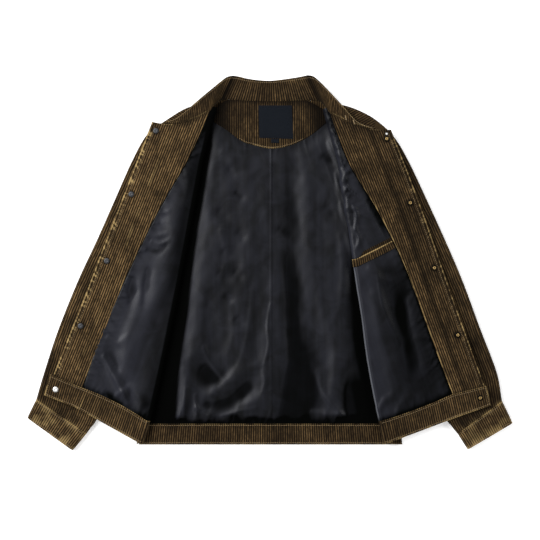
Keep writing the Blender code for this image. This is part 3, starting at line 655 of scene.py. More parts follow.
def wale_columns(start, stop, pitch, cuts=4, edges=()):
    """Places across the wales, with a column in each groove and on each crown."""
    step = pitch / cuts
    inside = np.arange(math.floor(start / step) + 1, math.ceil(stop / step)) * step
    near = np.array([start, stop] + [start + e for e in edges] + [stop - e for e in edges])
    inside = inside[np.abs(inside[:, None] - near).min(axis=1) > 0.3 * step]
    return np.sort(np.concatenate([inside, near]))


def stretch_rows(count, length, edges=(0.5, 1.3, 2.6)):
    """Shares of the way up, closer together at both ends."""
    near = np.array(edges) / length
    middle = np.linspace(0, 1, count + 1)
    middle = middle[(middle > near[-1] * 1.3) & (middle < 1 - near[-1] * 1.3)]
    return np.concatenate([[0], near, middle, 1 - near[::-1], [1]])


def round_off(distance, radius):
    """How far a rounded edge drops below its face."""
    reach = np.clip(radius - distance, 0.0, radius)
    return radius - np.sqrt(radius ** 2 - reach ** 2)


def clip_columns(curve, depth, count=600, low=-0.2, high=1.2):
    """Where each column enters and leaves an outline. depth is above 0 inside it."""
    shares = np.linspace(low, high, count)
    points = curve(shares[:, None])
    inside = depth(points[..., 0], points[..., 1])
    firm = inside > 0
    columns = np.arange(inside.shape[1])
    keep = firm.any(axis=0)
    first = np.maximum(firm.argmax(axis=0), 1)
    last = np.minimum(count - 1 - firm[::-1].argmax(axis=0), count - 2)

    def cross(a, b):
        da, db = inside[a, columns], inside[b, columns]
        return shares[a] + (shares[b] - shares[a]) * np.clip(da / np.where(da == db, 1, da - db), 0, 1)

    return keep, cross(first - 1, first), cross(last, last + 1)


def distances(line):
    """How far each point of a line lies from its start, along it."""
    return np.concatenate([[0], np.cumsum(np.linalg.norm(np.diff(line, axis=0), axis=1))])


def arc_places(line, places, wanted):
    """Places along a line at the wanted distances from its start."""
    return np.interp(wanted, distances(line), places)


def line_length(line):
    return float(np.linalg.norm(np.diff(line, axis=0), axis=1).sum())


# ---------------------------------------------------------------- meshes

def add_piece(name, mesh, material, nodes=()):
    """Links a mesh, dresses it, lets it ride on the jacket and stands it for its solids."""
    piece = bpy.data.objects.new(name, mesh)
    bpy.context.scene.collection.objects.link(piece)
    mesh.materials.append(material)
    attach(piece, "root")
    if nodes:
        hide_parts(*nodes)
    return piece


def add_shell(name, upper, lower, across, along, wear, shade, material, nodes, closed=False):
    """A cloth wall between two grids of points, closed round its rim.
    across and along are its places on the cloth in mm. A closed one repeats its first column last."""
    rows, columns = upper.shape[:2]
    grid = np.arange(rows * columns).reshape(rows, columns)
    high, low = grid, grid + rows * columns

    def quads(a, b, c, d):
        return np.stack([a, b, c, d], axis=-1).reshape(-1, 4)

    faces = [
        quads(high[:-1, :-1], high[:-1, 1:], high[1:, 1:], high[1:, :-1]),
        quads(low[:-1, :-1], low[1:, :-1], low[1:, 1:], low[:-1, 1:]),
        quads(high[0, 1:], high[0, :-1], low[0, :-1], low[0, 1:]),
        quads(high[-1, :-1], high[-1, 1:], low[-1, 1:], low[-1, :-1]),
    ]
    if not closed:
        faces += [
            quads(high[:-1, 0], high[1:, 0], low[1:, 0], low[:-1, 0]),
            quads(high[1:, -1], high[:-1, -1], low[:-1, -1], low[1:, -1]),
        ]
    faces = np.concatenate(faces)
    points = (np.concatenate([upper.reshape(-1, 3), lower.reshape(-1, 3)]) + PLAN_SHIFT) * MM
    corner = points[faces]
    middle = corner.mean(axis=1)
    area = np.cross(corner[:, 2] - corner[:, 0], corner[:, 3] - corner[:, 1]) / 2
    if (middle * area).sum() < 0:
        faces = faces[:, ::-1]
    places = np.stack([np.broadcast_to(across, grid.shape), np.broadcast_to(along, grid.shape)], axis=-1)
    places = np.concatenate([places.reshape(-1, 2)] * 2) * MM
    values = {}
    # wear holds worn edges on corduroy and the painted highlight on satin; shade holds painted shade
    for label, value in (("wear", wear), ("shade", shade)):
        values[label] = np.tile(np.broadcast_to(value, grid.shape).ravel(), 2)
    corners = places[faces].reshape(-1, 2)
    if closed:
        kept = np.concatenate([high[:, :-1].ravel(), low[:, :-1].ravel()])
        number = np.empty(len(points), dtype=int)
        number[kept] = np.arange(len(kept))
        number[high[:, -1]], number[low[:, -1]] = number[high[:, 0]], number[low[:, 0]]
        faces, points = number[faces], points[kept]
        values = {label: value[kept] for label, value in values.items()}
    mesh = bpy.data.meshes.new(name)
    mesh.from_pydata(points.tolist(), [], faces.tolist())
    mesh.uv_layers.new(name="cloth").data.foreach_set("uv", corners.ravel())
    for label, value in values.items():
        mesh.attributes.new(label, "FLOAT", "POINT").data.foreach_set("value", value.astype(np.float32))
    mesh.shade_smooth()
    mesh.set_sharp_from_angle(angle=math.radians(70))
    piece = add_piece(name, mesh, material, nodes)
    side = "left" if "_left_" in name else "right"
    return piece


# ---------------------------------------------------------------- shaders

class Number:
    """A value in a shader. Sums on it add Math nodes."""

    def __init__(self, finish, socket):
        self.finish, self.socket = finish, socket

    def math(self, operation, *others):
        values = {str(index): value for index, value in enumerate((self, *others))}
        node = self.finish.node("ShaderNodeMath", {"operation": operation}, values)
        return Number(self.finish, node.outputs[0])

    def __add__(self, other):
        return self.math("ADD", other)

    def __mul__(self, other):
        return self.math("MULTIPLY", other)

    def __truediv__(self, other):
        return self.math("DIVIDE", other)

    def __rsub__(self, other):
        node = self.finish.node("ShaderNodeMath", {"operation": "SUBTRACT"}, {"0": other, "1": self})
        return Number(self.finish, node.outputs[0])

    __radd__, __rmul__ = __add__, __mul__

    def ramp(self, low, high):
        """Rises smoothly from 0 to 1 as the value goes from low to high."""
        node = self.finish.node(
            "ShaderNodeMapRange", {"interpolation_type": "SMOOTHSTEP"},
            {"Value": self, "From Min": low, "From Max": high},
        )
        return Number(self.finish, node.outputs["Result"])


class Finish:
    """A material, built node by node."""

    def __init__(self, name, **constants):
        self.material = bpy.data.materials.new(name)
        self.material.use_nodes = True
        self.tree = self.material.node_tree
        self.shader = self.tree.nodes["Principled BSDF"]
        for socket, value in constants.items():
            self.put(self.shader.inputs[socket.replace("_", " ")], value)

    def put(self, socket, value):
        if isinstance(value, Number):
            value = value.socket
        if isinstance(value, bpy.types.NodeSocket):
            self.tree.links.new(value, socket)
        elif socket.type == "RGBA" and len(value) == 3:
            socket.default_value = (*value, 1.0)
        else:
            socket.default_value = value

    def node(self, kind, settings=None, values=None):
        node = self.tree.nodes.new(kind)
        for label, value in (settings or {}).items():
            setattr(node, label, value)
        for label, value in (values or {}).items():
            self.put(node.inputs[int(label) if label.isdigit() else label], value)
        return node

    def attribute(self, label):
        return Number(self, self.node("ShaderNodeAttribute", {"attribute_name": label}).outputs["Fac"])

    def cloth_place(self):
        """The place on the cloth in metres, across and along the wales."""
        laid_out = self.node("ShaderNodeUVMap", {"uv_map": "cloth"}).outputs[0]
        parts = self.node("ShaderNodeSeparateXYZ", None, {"0": laid_out})
        return Number(self, parts.outputs[0]), Number(self, parts.outputs[1])

    def noise(self, vector, scale, detail=2.0, roughness=0.5, distortion=0.0):
        node = self.node("ShaderNodeTexNoise", None, {
            "Vector": vector, "Scale": scale, "Detail": detail,
            "Roughness": roughness, "Distortion": distortion,
        })
        return Number(self, node.outputs[0])

    def vector(self, x, y, z=0.0):
        return self.node("ShaderNodeCombineXYZ", None, {"0": x, "1": y, "2": z}).outputs[0]

    def object_place(self):
        return self.node("ShaderNodeTexCoord").outputs["Object"]

    def mix(self, first, second, share):
        node = self.node("ShaderNodeMix", {"data_type": "RGBA"}, {"0": share, "6": first, "7": second})
        return node.outputs[2]

    def bump(self, height, distance, strength, under=None):
        values = {"Height": height, "Distance": distance, "Strength": strength}
        if under is not None:
            values["Normal"] = under
        return self.node("ShaderNodeBump", None, values).outputs[0]

    def wear(self, **links):
        for socket, value in links.items():
            self.put(self.shader.inputs[socket.replace("_", " ")], value)
        return self.material


def ribs(place, pitch):
    """Rounded ribs across a place on the cloth, 0 between them and 1 on top."""
    return (place * (math.pi / pitch)).math("SINE").math("ABSOLUTE")


def corduroy(name, cloth, raised=True):
    """Worn two-tone corduroy with painted shade. raised is for pieces whose wales are in their mesh."""
    if name in bpy.data.materials:
        return bpy.data.materials[name]
    finish = Finish(
        name, Sheen_Weight=0.06, Sheen_Roughness=0.5, Sheen_Tint=(0.60, 0.50, 0.34), Specular_IOR_Level=0.06)
    across, along = finish.cloth_place()
    wear, shade = finish.attribute("wear"), finish.attribute("shade")
    pitch = cloth.wale_pitch
    hump = ribs(across, pitch)
    fleck = finish.noise(finish.vector(across / pitch, along * 120.0), 1.0, 3.0, 0.62)
    streak = finish.noise(finish.vector(across / pitch * 0.5, along * 22.0), 1.0, 2.0, 0.5)
    wash = finish.noise(finish.object_place(), 16.0, 3.0, 0.55, 0.4)
    patch = finish.noise(finish.object_place(), 48.0, 2.0, 0.5)
    pile = finish.noise(finish.object_place(), 2600.0, 2.0, 0.6)
    rubbed = hump.ramp(0.46, 1.0) * (0.35 + fleck.ramp(0.30, 0.72) * 0.75)
    rubbed = rubbed * (0.55 + streak.ramp(0.3, 0.7) * 0.6)
    # painted shade from the shade attribute darkens the crowns
    rubbed = rubbed * (0.62 + wash.ramp(0.34, 0.64) * 0.5) * (1.0 - shade * 0.55)
    worn = (wear * (0.35 + patch.ramp(0.36, 0.62) * 0.95) * (0.30 + hump * 0.70)).ramp(0.10, 0.85)
    colour = finish.mix(cloth.groove_colour, cloth.crown_colour, rubbed)
    colour = finish.mix(colour, cloth.worn_colour, worn * 0.8)
    # random wash tone, and painted shade from the shade attribute over the whole colour
    tone_and_shade = (0.80 + wash.ramp(0.3, 0.7) * 0.3) * (1.0 - shade * 0.35)
    colour = finish.mix((0.0, 0.0, 0.0), colour, tone_and_shade)
    normal = finish.bump(pile, 0.00035, 0.5)
    if not raised:
        normal = finish.bump(hump, cloth.wale_depth, 0.9, normal)
    return finish.wear(Base_Color=colour, Roughness=0.80 + pile * 0.18, Normal=normal)


def satin(name, lining):
    """Dark satin with a soft shine and a fine weave, and painted highlights, glints and shade."""
    if name in bpy.data.materials:
        return bpy.data.materials[name]
    finish = Finish(name, Specular_IOR_Level=0.0, Coat_Roughness=0.40)
    across, along = finish.cloth_place()
    place = finish.object_place()
    cloud = finish.noise(place, 22.0, 3.0, 0.55, 0.6)
    warp = finish.noise(finish.vector(across * 2400.0, along * 160.0), 1.0, 2.0, 0.5)
    crumple = finish.noise(place, 75.0, 2.0, 0.5, 0.8)
    streak = finish.noise(finish.vector(across * 90.0, along * 9.0), 1.0, 2.0, 0.5)
    # the wear attribute holds the painted highlight of the satin, and shade its painted shade
    lit, shade = finish.attribute("wear"), finish.attribute("shade")
    open_share = cloud.ramp(0.32, 0.66) * 0.6 + streak.ramp(0.35, 0.65) * 0.3
    colour = finish.mix(lining.deep_colour, lining.colour, open_share)
    # painted highlight on the lit sides of folds, painted glint on crisp edges, painted shadow deep in folds
    colour = finish.mix(colour, lining.lit_colour, lit * (0.6 + streak * 0.5))
    colour = finish.mix(colour, lining.glint_colour, lit.ramp(0.95, 1.8))
    colour = finish.mix(colour, lining.shadow_colour, shade)
    shine = (1.0 - shade) * (0.26 + cloud * 0.14)
    normal = finish.bump(warp, 0.00006, 0.35)
    normal = finish.bump(streak, 0.0016, 0.25, normal)
    normal = finish.bump(crumple, 0.0009, 0.22, normal)
    return finish.wear(Base_Color=colour, Coat_Weight=shine, Roughness=0.6 + warp * 0.1, Normal=normal)


def metal(name, colour, roughness, tarnish):
    """Plated metal with fine scratches and a darker bloom."""
    if name in bpy.data.materials:
        return bpy.data.materials[name]
    finish = Finish(name, Metallic=1.0)
    bloom = finish.noise(finish.object_place(), 900.0, 3.0, 0.6)
    scratch = finish.noise(finish.object_place(), 5200.0, 2.0, 0.7, 2.0)
    base = finish.mix(tarnish, colour, bloom.ramp(0.30, 0.58))
    # darker on the rims and rings that each snap marks
    base = finish.mix(base, (0.010, 0.009, 0.008), finish.attribute("darkening"))
    return finish.wear(
        Base_Color=base, Roughness=roughness + scratch * 0.15, Normal=finish.bump(scratch, 0.00004, 0.3),
    )


def woven(name, colour, thread_colour):
    """Damask ribbon of the label, bare of words."""
    if name in bpy.data.materials:
        return bpy.data.materials[name]
    finish = Finish(name, Specular_IOR_Level=0.03)
    across, along = finish.cloth_place()
    weft, warp = ribs(along, 0.00055), ribs(across, 0.00042)
    slub = finish.noise(finish.vector(across * 300.0, along * 1900.0), 1.0, 2.0, 0.5)
    threads = (weft * 0.5 + slub * 0.5).ramp(0.35, 1.0) * (1.0 - finish.attribute("shade"))
    colour = finish.mix(colour, thread_colour, threads)
    normal = finish.bump(weft * warp, 0.00012, 0.6)
    return finish.wear(Base_Color=colour, Roughness=0.55 + slub * 0.2, Normal=normal)


def thread(name, cloth):
    """Twisted sewing thread."""
    if name in bpy.data.materials:
        return bpy.data.materials[name]
    finish = Finish(name, Sheen_Weight=0.2, Sheen_Roughness=0.5, Specular_IOR_Level=0.35)
    fibre = finish.noise(finish.object_place(), 1400.0, 3.0, 0.6)
    fade = finish.noise(finish.object_place(), 60.0, 2.0, 0.5)
    faded = (fibre * 0.5 + fade * 0.6).ramp(0.30, 0.75)
    colour = finish.mix(cloth.crown_colour, cloth.thread_colour, faded)
    normal = finish.bump(fibre, 0.0001, 0.5)
    return finish.wear(Base_Color=colour, Roughness=0.65 + fibre * 0.2, Normal=normal)


def add_corduroy(cloth, node, cut, name, upper, lower, across, along, wear, shade, closed=False):
    """A corduroy shell with raised wales, which stands for one solid."""
    return add_shell(
        name, upper, lower, across, along, wear, shade, corduroy("worn_wale", cloth),
        [node], closed)


# ---------------------------------------------------------------- settings

class JacketCloth(bpy.types.PropertyGroup):
    wale_pitch: bpy.props.FloatProperty(
        name="Wale pitch", description="From one groove of the corduroy to the next", default=0.004233,
        min=0.001, max=0.01, unit="LENGTH", precision=4)
    wale_depth: bpy.props.FloatProperty(
        name="Wale depth", description="From a crown down to a groove", default=0.0009,
        min=0.0, max=0.0014, unit="LENGTH", precision=4)
    groove_colour: bpy.props.FloatVectorProperty(
        name="Groove colour", description="Cloth between the wales",
        default=(0.0070, 0.0044, 0.0024), subtype="COLOR")
    crown_colour: bpy.props.FloatVectorProperty(
        name="Crown colour", description="Pile on the wales",
        default=(0.174, 0.107, 0.045), subtype="COLOR")
    worn_colour: bpy.props.FloatVectorProperty(
        name="Worn colour", description="Rubbed edges",
        default=(0.36, 0.25, 0.105), subtype="COLOR")
    thread_colour: bpy.props.FloatVectorProperty(
        name="Thread colour", description="Topstitching",
        default=(0.25, 0.175, 0.080), subtype="COLOR")
    stitch_length: bpy.props.FloatProperty(
        name="Stitch length", description="One stitch and the gap after it", default=0.0034,
        min=0.0015, max=0.008, unit="LENGTH", precision=4)


class JacketLining(bpy.types.PropertyGroup):
    colour: bpy.props.FloatVectorProperty(
        name="Satin colour", description="Satin in the light",
        default=(0.0128, 0.0134, 0.0178), subtype="COLOR")
    deep_colour: bpy.props.FloatVectorProperty(
        name="Deep colour", description="Satin where it lies darker",
        default=(0.0052, 0.0054, 0.0062), subtype="COLOR")
    glint_colour: bpy.props.FloatVectorProperty(
        name="Glint colour", description="Satin on a crisp edge",
        default=(0.115, 0.12, 0.135), subtype="COLOR")
    lit_colour: bpy.props.FloatVectorProperty(
        name="Lit colour", description="Satin on the lit side of its folds",
        default=(0.0268, 0.0280, 0.0385), subtype="COLOR")
    shadow_colour: bpy.props.FloatVectorProperty(
        name="Shadow colour", description="Satin deep in its folds",
        default=(0.0014, 0.0015, 0.0014), subtype="COLOR")
    crease: bpy.props.FloatProperty(
        name="Crease", description="How strongly the fine creases stand",
        default=1.0, min=0.0, max=1.5, subtype="FACTOR")
    label_colour: bpy.props.FloatVectorProperty(
        name="Label colour", description="Label and size tab",
        default=(0.0044, 0.0055, 0.0076), subtype="COLOR")


class JacketSnaps(bpy.types.PropertyGroup):
    radius: bpy.props.FloatProperty(
        name="Radius", description="Outer radius of a snap", default=0.0053, min=0.003, max=0.008,
        unit="LENGTH", precision=4)
    height: bpy.props.FloatProperty(
        name="Height", description="How far a snap stands off the cloth", default=0.0020,
        min=0.001, max=0.003, unit="LENGTH", precision=4)
    nickel_colour: bpy.props.FloatVectorProperty(
        name="Nickel", description="Studs and caps",
        default=(0.085, 0.087, 0.092), subtype="COLOR")
    bright_colour: bpy.props.FloatVectorProperty(
        name="Bright nickel", description="Stud on the right band",
        default=(0.92, 0.92, 0.90), subtype="COLOR")
    brass_colour: bpy.props.FloatVectorProperty(
        name="Brass", description="Sockets of the left front",
        default=(0.66, 0.45, 0.18), subtype="COLOR")


class JacketStage(bpy.types.PropertyGroup):
    floor_colour: bpy.props.FloatVectorProperty(
        name="Floor colour", description="Plain pale floor",
        default=(0.86, 0.86, 0.86), subtype="COLOR")
    floor_size: bpy.props.FloatProperty(
        name="Floor size", description="Side of the floor", default=8.0, min=2.0, max=20.0, unit="LENGTH")
    lens: bpy.props.FloatProperty(
        name="Lens", description="Focal length of the camera in mm", default=100.0, min=35.0, max=200.0)
    view_width: bpy.props.FloatProperty(
        name="View width", description="Width of the view at the jacket", default=1.0152, min=0.5, max=3.0,
        unit="LENGTH", precision=4)
    light_power: bpy.props.FloatProperty(
        name="Light power", description="Power of the key light in watts", default=125.0, min=0.0, max=2000.0)
    sky: bpy.props.FloatProperty(
        name="Sky", description="Strength of the even light all round", default=0.08, min=0.0, max=3.0)


# ---------------------------------------------------------------- stage

FLOOR_DROP = 0.0006
SENSOR_WIDTH = 36.0

# The camera's place in metres along Y, and the height of the face that the view width is taken at
CAMERA_Y = -0.0136
FACE_HEIGHT = 0.012

# Lights: name, place, size, and share of the key light's power
LIGHTS = (
    ("key_light", (-1.9, 0.9, 2.0), 2.0, 1.0),
    ("fill_light", (2.3, 0.6, 1.5), 1.4, 0.40),
    ("low_light", (0.2, -2.6, 1.2), 1.6, 0.16),
)


class JACKET_OT_stage(bpy.types.Operator):
    """Plain pale floor, soft studio light and a camera straight above."""
    bl_idname = "jacket.build_stage"
    bl_label = "Stage"

    def execute(self, context):
        stage = context.scene.jacket_stage
        bpy.ops.object.select_all(action="DESELECT")
        bpy.ops.mesh.primitive_grid_add(
            x_subdivisions=8, y_subdivisions=8, size=stage.floor_size, location=(0, 0, -FLOOR_DROP))
        floor = context.object
        floor.name = "floor"
        finish = Finish(
            "pale_floor", Specular_IOR_Level=0.2, Emission_Color=(1, 1, 1), Emission_Strength=0.45)
        speck = finish.noise(finish.object_place(), 3.0)
        colour = finish.mix([c * 0.985 for c in stage.floor_colour], stage.floor_colour, speck)
        floor.data.materials.append(finish.wear(Base_Color=colour, Roughness=0.85 + speck * 0.1))

        context.scene.view_settings.view_transform = "Standard"
        world = bpy.data.worlds.new("soft_sky")
        context.scene.world = world
        world.use_nodes = True
        sky = world.node_tree.nodes["Background"].inputs
        sky["Color"].default_value = (1.0, 1.0, 1.0, 1.0)
        sky["Strength"].default_value = stage.sky

        for label, place, size, power_share in LIGHTS:
            bpy.ops.object.light_add(type="AREA", location=place)
            light = context.object
            light.name = label
            light.data.size = size
            light.data.energy = stage.light_power * power_share
            way = -np.array(place)
            tilt = math.acos(-way[2] / np.linalg.norm(way))
            light.rotation_euler = (tilt, 0.0, math.atan2(way[1], way[0]) - math.pi / 2)

        distance = stage.view_width * stage.lens / SENSOR_WIDTH
        bpy.ops.object.camera_add(
            location=(0.0, CAMERA_Y, distance + FACE_HEIGHT), rotation=(0.0, 0.0, 0.0))
        camera = context.object
        camera.name = "camera_above"
        camera.data.lens = stage.lens
        camera.data.sensor_width = SENSOR_WIDTH
        camera.data.clip_start = 0.1
        camera.data.clip_end = 50.0
        context.scene.camera = camera
        return {"FINISHED"}


# ---------------------------------------------------------------- back

def side_line(side, y):
    """X of the side seam and raglan seam at heights of the plan."""
    line = np.array(FRONTS[side].side, dtype=float)
    return np.interp(y, line[:, 1], line[:, 0])


class JACKET_OT_back(bpy.types.Operator):
    """Back panel, which the jacket lies on."""
    bl_idname = "jacket.build_back"
    bl_label = "Back"

    def execute(self, context):
        cloth = context.scene.jacket_cloth
        pitch, depth = wale_size(cloth)
        neck = np.array(NECK_SEAM, dtype=float)
        x = wale_columns(-242.4, 240.4, pitch, 3)
        turned_up = (UNDER_FOLD - CORDUROY) / 2 + CORDUROY + SEAM_GAP

        def curve(share):
            return np.stack(np.broadcast_arrays(x, HEM + share * BACK_REACH), axis=-1)

        def inside(px, py):
            inset = turned_up * (1 - ease((py + 4) / 10))
            neck_y = np.interp(px, neck[:, 0], neck[:, 1]) + 9 * ease((np.abs(px) - 78) / 8)
            return np.minimum.reduce([
                px - side_line("right", py) - inset, side_line("left", py) - inset - px,
                py - HEM, neck_y - py,
            ])

        keep, start, stop = clip_columns(curve, inside)
        keep &= (stop - start) * BACK_REACH > 6
        x, start, stop = x[keep], start[keep], stop[keep]
        share = start + (stop - start) * stretch_rows(48, BACK_REACH)[:, None]
        plan = curve(share)
        lower = np.dstack([plan, np.broadcast_to(grooves(x, pitch, depth), share.shape)])
        upper = np.dstack([plan, np.full(share.shape, CORDUROY)])
        up = share * BACK_REACH
        add_corduroy(cloth, "back_panel", "back", "back_cloth", upper, lower, x, up, 0.15 * bell(up, 5), 0.2)
        return {"FINISHED"}


def neck_line(line, x):
    """Y of an edge of the neck facing."""
    edge = smooth_line(line, np.linspace(0, 1, 21))
    return np.interp(x, edge[:, 0], edge[:, 1])


def facing_end(x, low, top):
    """Y of a slanting end of the neck facing, from its low corner to its top one."""
    return low[1] + (x - low[0]) * (top[1] - low[1]) / (top[0] - low[0])


class JACKET_OT_neck_facing(bpy.types.Operator):
    """Half-moon facing inside the back neck, its wales upright."""
    bl_idname = "jacket.build_neck_facing"
    bl_label = "Neck facing"

    def execute(self, context):
        cloth = context.scene.jacket_cloth
        pitch, depth = wale_size(cloth)
        x = wale_columns(-105.5, 106.5, pitch)
        low = neck_line(NECK_FACING_LOW, x)
        between = (x > NECK_FACING_TOP[0][0]) & (x < NECK_FACING_TOP[-1][0])
        middle = np.where(between, neck_line(NECK_FACING_TOP, x), np.inf)
        ends = [facing_end(x, NECK_FACING_LOW[end], NECK_FACING_TOP[end]) for end in (0, -1)]
        top = np.minimum.reduce([middle, *ends])
        share = stretch_rows(12, 75)[:, None]
        y = low + (top - low) * share
        grid_x = np.broadcast_to(x, y.shape)
        floor = CORDUROY + SEAM_GAP
        from_low, from_top = y - low, top - y
        bulge = 0.5 * (1 + drift(grid_x, y, 70, 3)) * ease(from_low / 12) * ease(from_top / 12)
        z = floor + CORDUROY - grooves(x, pitch, depth) - round_off(from_low, 1.0) + bulge * 0.6
        upper = np.dstack([grid_x, y, z])
        lower = np.dstack([grid_x, y, np.full(y.shape, floor)])
        wear = 0.75 * bell(from_low, 2.2) * ease((64 - np.abs(grid_x)) / 30)
        # painted shade under the collar seam and towards the ends, where the collar bends over, and over the
        # whole facing
        shade = 0.75 * bell(from_top, 6) + 1.1 * ease((np.abs(grid_x) - 62) / 34) + 0.60
        add_corduroy(
            cloth, "neck_facing", "neck_facing", "neck_facing_cloth", upper, lower, x, y, wear,
            np.clip(shade, 0, 1.6))
        return {"FINISHED"}


def fold_x(side, y):
    """X of a front's fold at heights of the plan."""
    line = smooth_line(FRONTS[side].fold, np.linspace(0, 1, 25))
    return np.interp(y, line[:, 1], line[:, 0])


def inset_side(side, share, inset):
    """Points inside the side seam or raglan seam of the back."""
    rows = front_rows(side, share)
    turn = rows.fold - rows.inward * (rows.reach + (OVER_FOLD - rows.under) / 2)
    return rows.side + unit(turn - rows.side) * np.reshape(inset, (-1, 1))


class JACKET_OT_back_lining(bpy.types.Operator):
    """The two halves of the back lining, with their soft folds, painted highlights and painted shade."""
    bl_idname = "jacket.build_back_lining"
    bl_label = "Back lining"

    def execute(self, context):
        crease = context.scene.jacket_lining.crease
        hem = HEM + SEAM_GAP
        up = stretch_rows(168, FRONT_REACH, (1.2, 3))[:, None]
        edge_line = np.array(SHADOW_EDGE, dtype=float)
        dents = [[(dx - 4, dy + 3, size, -1.5), (dx + 4, dy - 3, size, -1.5)] for dx, dy, size in BACK_DENTS]
        across = np.linspace(0, 1, 87)
        for side, sign in (("right", -1), ("left", 1)):
            centre = CENTRE_SEAM + sign * SEAM_GAP / 2
            edge = inset_side(side, up[:, 0] * LINING_TOP, 10 + 2 * up[:, 0])[:, :1]
            low_edge = inset_side(side, np.zeros(1), 10)[0, 0]
            corner = inset_side(side, np.full(1, LINING_TOP), 12)[0, 0]
            hem_x, top_x = centre + (low_edge - centre) * across, centre + (corner - centre) * across
            top_y = neck_line(NECK_FACING_LOW, top_x) - SEAM_LIFT
            bow = edge - ((1 - up) * low_edge + up * corner)
            x = (1 - up) * hem_x + up * top_x + bow * ease(across * 3 - 2)
            y = hem + (top_y - hem) * up
            clear = np.minimum(x - fold_x("right", y), fold_x("left", y) - x)
            open_cloth = ease((clear + 4) / 26)
            near_hem, near_neck = ease((y - HEM) / 16), ease((top_y - y) / 30)
            body = 0.45 * np.maximum(ripple_height(x, y, LINING_RIPPLES), 0) + LINING_PUFF
            fine = crease_height(x, y, BACK_CREASES + dents)
            fine = fine + 0.5 * drift(x, y / 2.2, 60, 11) + 0.2 * drift(x, y, 30, 12)
            left_fold = fold_x("left", y) - x
            rise = 6.4 * np.exp(-np.maximum(left_fold - 1, 0) / 17)
            rise = rise + 1.3 * puckers(y + 2.4 * x, np.abs(left_fold), 26, 18, 23)
            rise = rise * ease((y + 25) / 60) * ease((top_y - y) / 50)
            gather = 1.6 * puckers(x, np.maximum(y - hem, 0), 13, 18, 21) * ease((y - hem) / 3)
            neck_gather = 0.7 * puckers(x, np.maximum(top_y - y, 0), 12, 12, 22) * ease((top_y - y) / 3)
            seam_ridge = 0.5 * bell(x - CENTRE_SEAM + 1.8, 1.5) * ease((clear - 20) / 30)
            lift = (body + crease * fine) * near_hem * near_neck
            lift = lift + crease * (gather + neck_gather) + seam_ridge
            base = CORDUROY + SEAM_GAP + np.maximum(lift, 0) * open_cloth
            # painted highlight and painted shade by how the satin leans
            lit, shade = satin_tones(np.dstack([x, y, base + rise]))
            z = base + rise * ease((left_fold + 5) / 4)
            upper = np.dstack([x, y, z + SATIN])
            # painted shade in the troughs of the creases, by the neck and along the hem
            gloom = 0.85 * ease(-fine / 2.6) * near_neck + 0.3 * bell(top_y - y, 10)
            shade += 0.9 * (1 - ease((y + 297 - 5 * drift(x, y, 34, 24)) / 10)) + gloom
            # painted shadow cast by the right fold, up to its shadow edge
            from_shadow = x - np.interp(y, edge_line[:, 1], edge_line[:, 0])
            shade += 1 - ease((from_shadow + 3) / 6)
            # painted shade beside the left fold, below the welt
            low = 6 + 30 * ease(-y / 130)
            shade += 0.9 * (1 - ease((left_fold - 0.25 * low) / low)) * ease((30 - y) / 50)
            # painted highlight just past the shadow edge
            lit += 0.25 * np.exp(-np.maximum(from_shadow - 2, 0) / 11) * ease((200 - y) / 140)
            add_shell(
                f"back_lining_{side}_satin", upper, np.dstack([x, y, z]), x, y, lit,
                np.clip(shade, 0, 1), satin("creased_satin", context.scene.jacket_lining),
                [f"back_lining_{side}"])
        return {"FINISHED"}


# ---------------------------------------------------------------- fronts

class JACKET_OT_fronts(bpy.types.Operator):
    """Outer cloth of the fronts, face down over the sleeves and turned under at the fold."""
    bl_idname = "jacket.build_fronts"
    bl_label = "Fronts"

    def execute(self, context):
        cloth = context.scene.jacket_cloth
        share = stretch_rows(46, FRONT_REACH)
        share = np.sort(np.concatenate([share, [0.4995, 0.5005]]))
        places = np.concatenate([[0, 0.012, 0.035], np.arange(0.07, 6.0, 0.055), [6.0]])
        for side in SIDES:
            rows = front_rows(side, share)
            rounded = round_off(places * PLACKET_WIDTH, 1.0)
            upper = row_points(rows, places, -rounded * 0.3)
            lower = row_points(rows, places, -CORDUROY + rounded)
            run = distances(upper[24])
            add_shell(
                f"front_{side}_cloth", upper, lower, run, share[:, None] * FRONT_REACH,
                0.8 * bell(run, 3), 0.3, corduroy("plain_wale", cloth, raised=False),
                [f"front_{side}"])
        return {"FINISHED"}


def placket_normal(side):
    line = np.array(FRONTS[side].placket, dtype=float)
    run = unit(line[-1] - line[0])
    return np.array((run[1], -run[0])) * FRONTS[side].inward


def front_depths(side, facing):
    """How far a point of the plan lies inside a facing's outline: hem, neck and lining seam."""
    front = FRONTS[side]
    ends = [np.array(line[index], dtype=float) for index in (0, -1) for line in (front.placket, front.facing)]
    seam = smooth_line(front.facing, np.linspace(-0.3, 1.3, 161))

    def inside(x, y):
        depths = []
        for (start, end), bow, way in ((ends[:2], 0.0, 1), (ends[2:], front.neck_bow, -1)):
            chord = end - start
            length = np.linalg.norm(chord)
            run = chord / length
            up = np.array((-run[1], run[0]))
            up = up if up[1] > 0 else -up
            share = ((x - start[0]) * run[0] + (y - start[1]) * run[1]) / length
            height = (x - start[0]) * up[0] + (y - start[1]) * up[1]
            line = bow * 4 * share * (1 - share)
            depths.append((height - line) * way)
        if facing:
            depths.append((np.interp(y, seam[:, 1], seam[:, 0]) - x) * front.inward * 0.9 - SEAM_GAP)
        return depths

    return inside


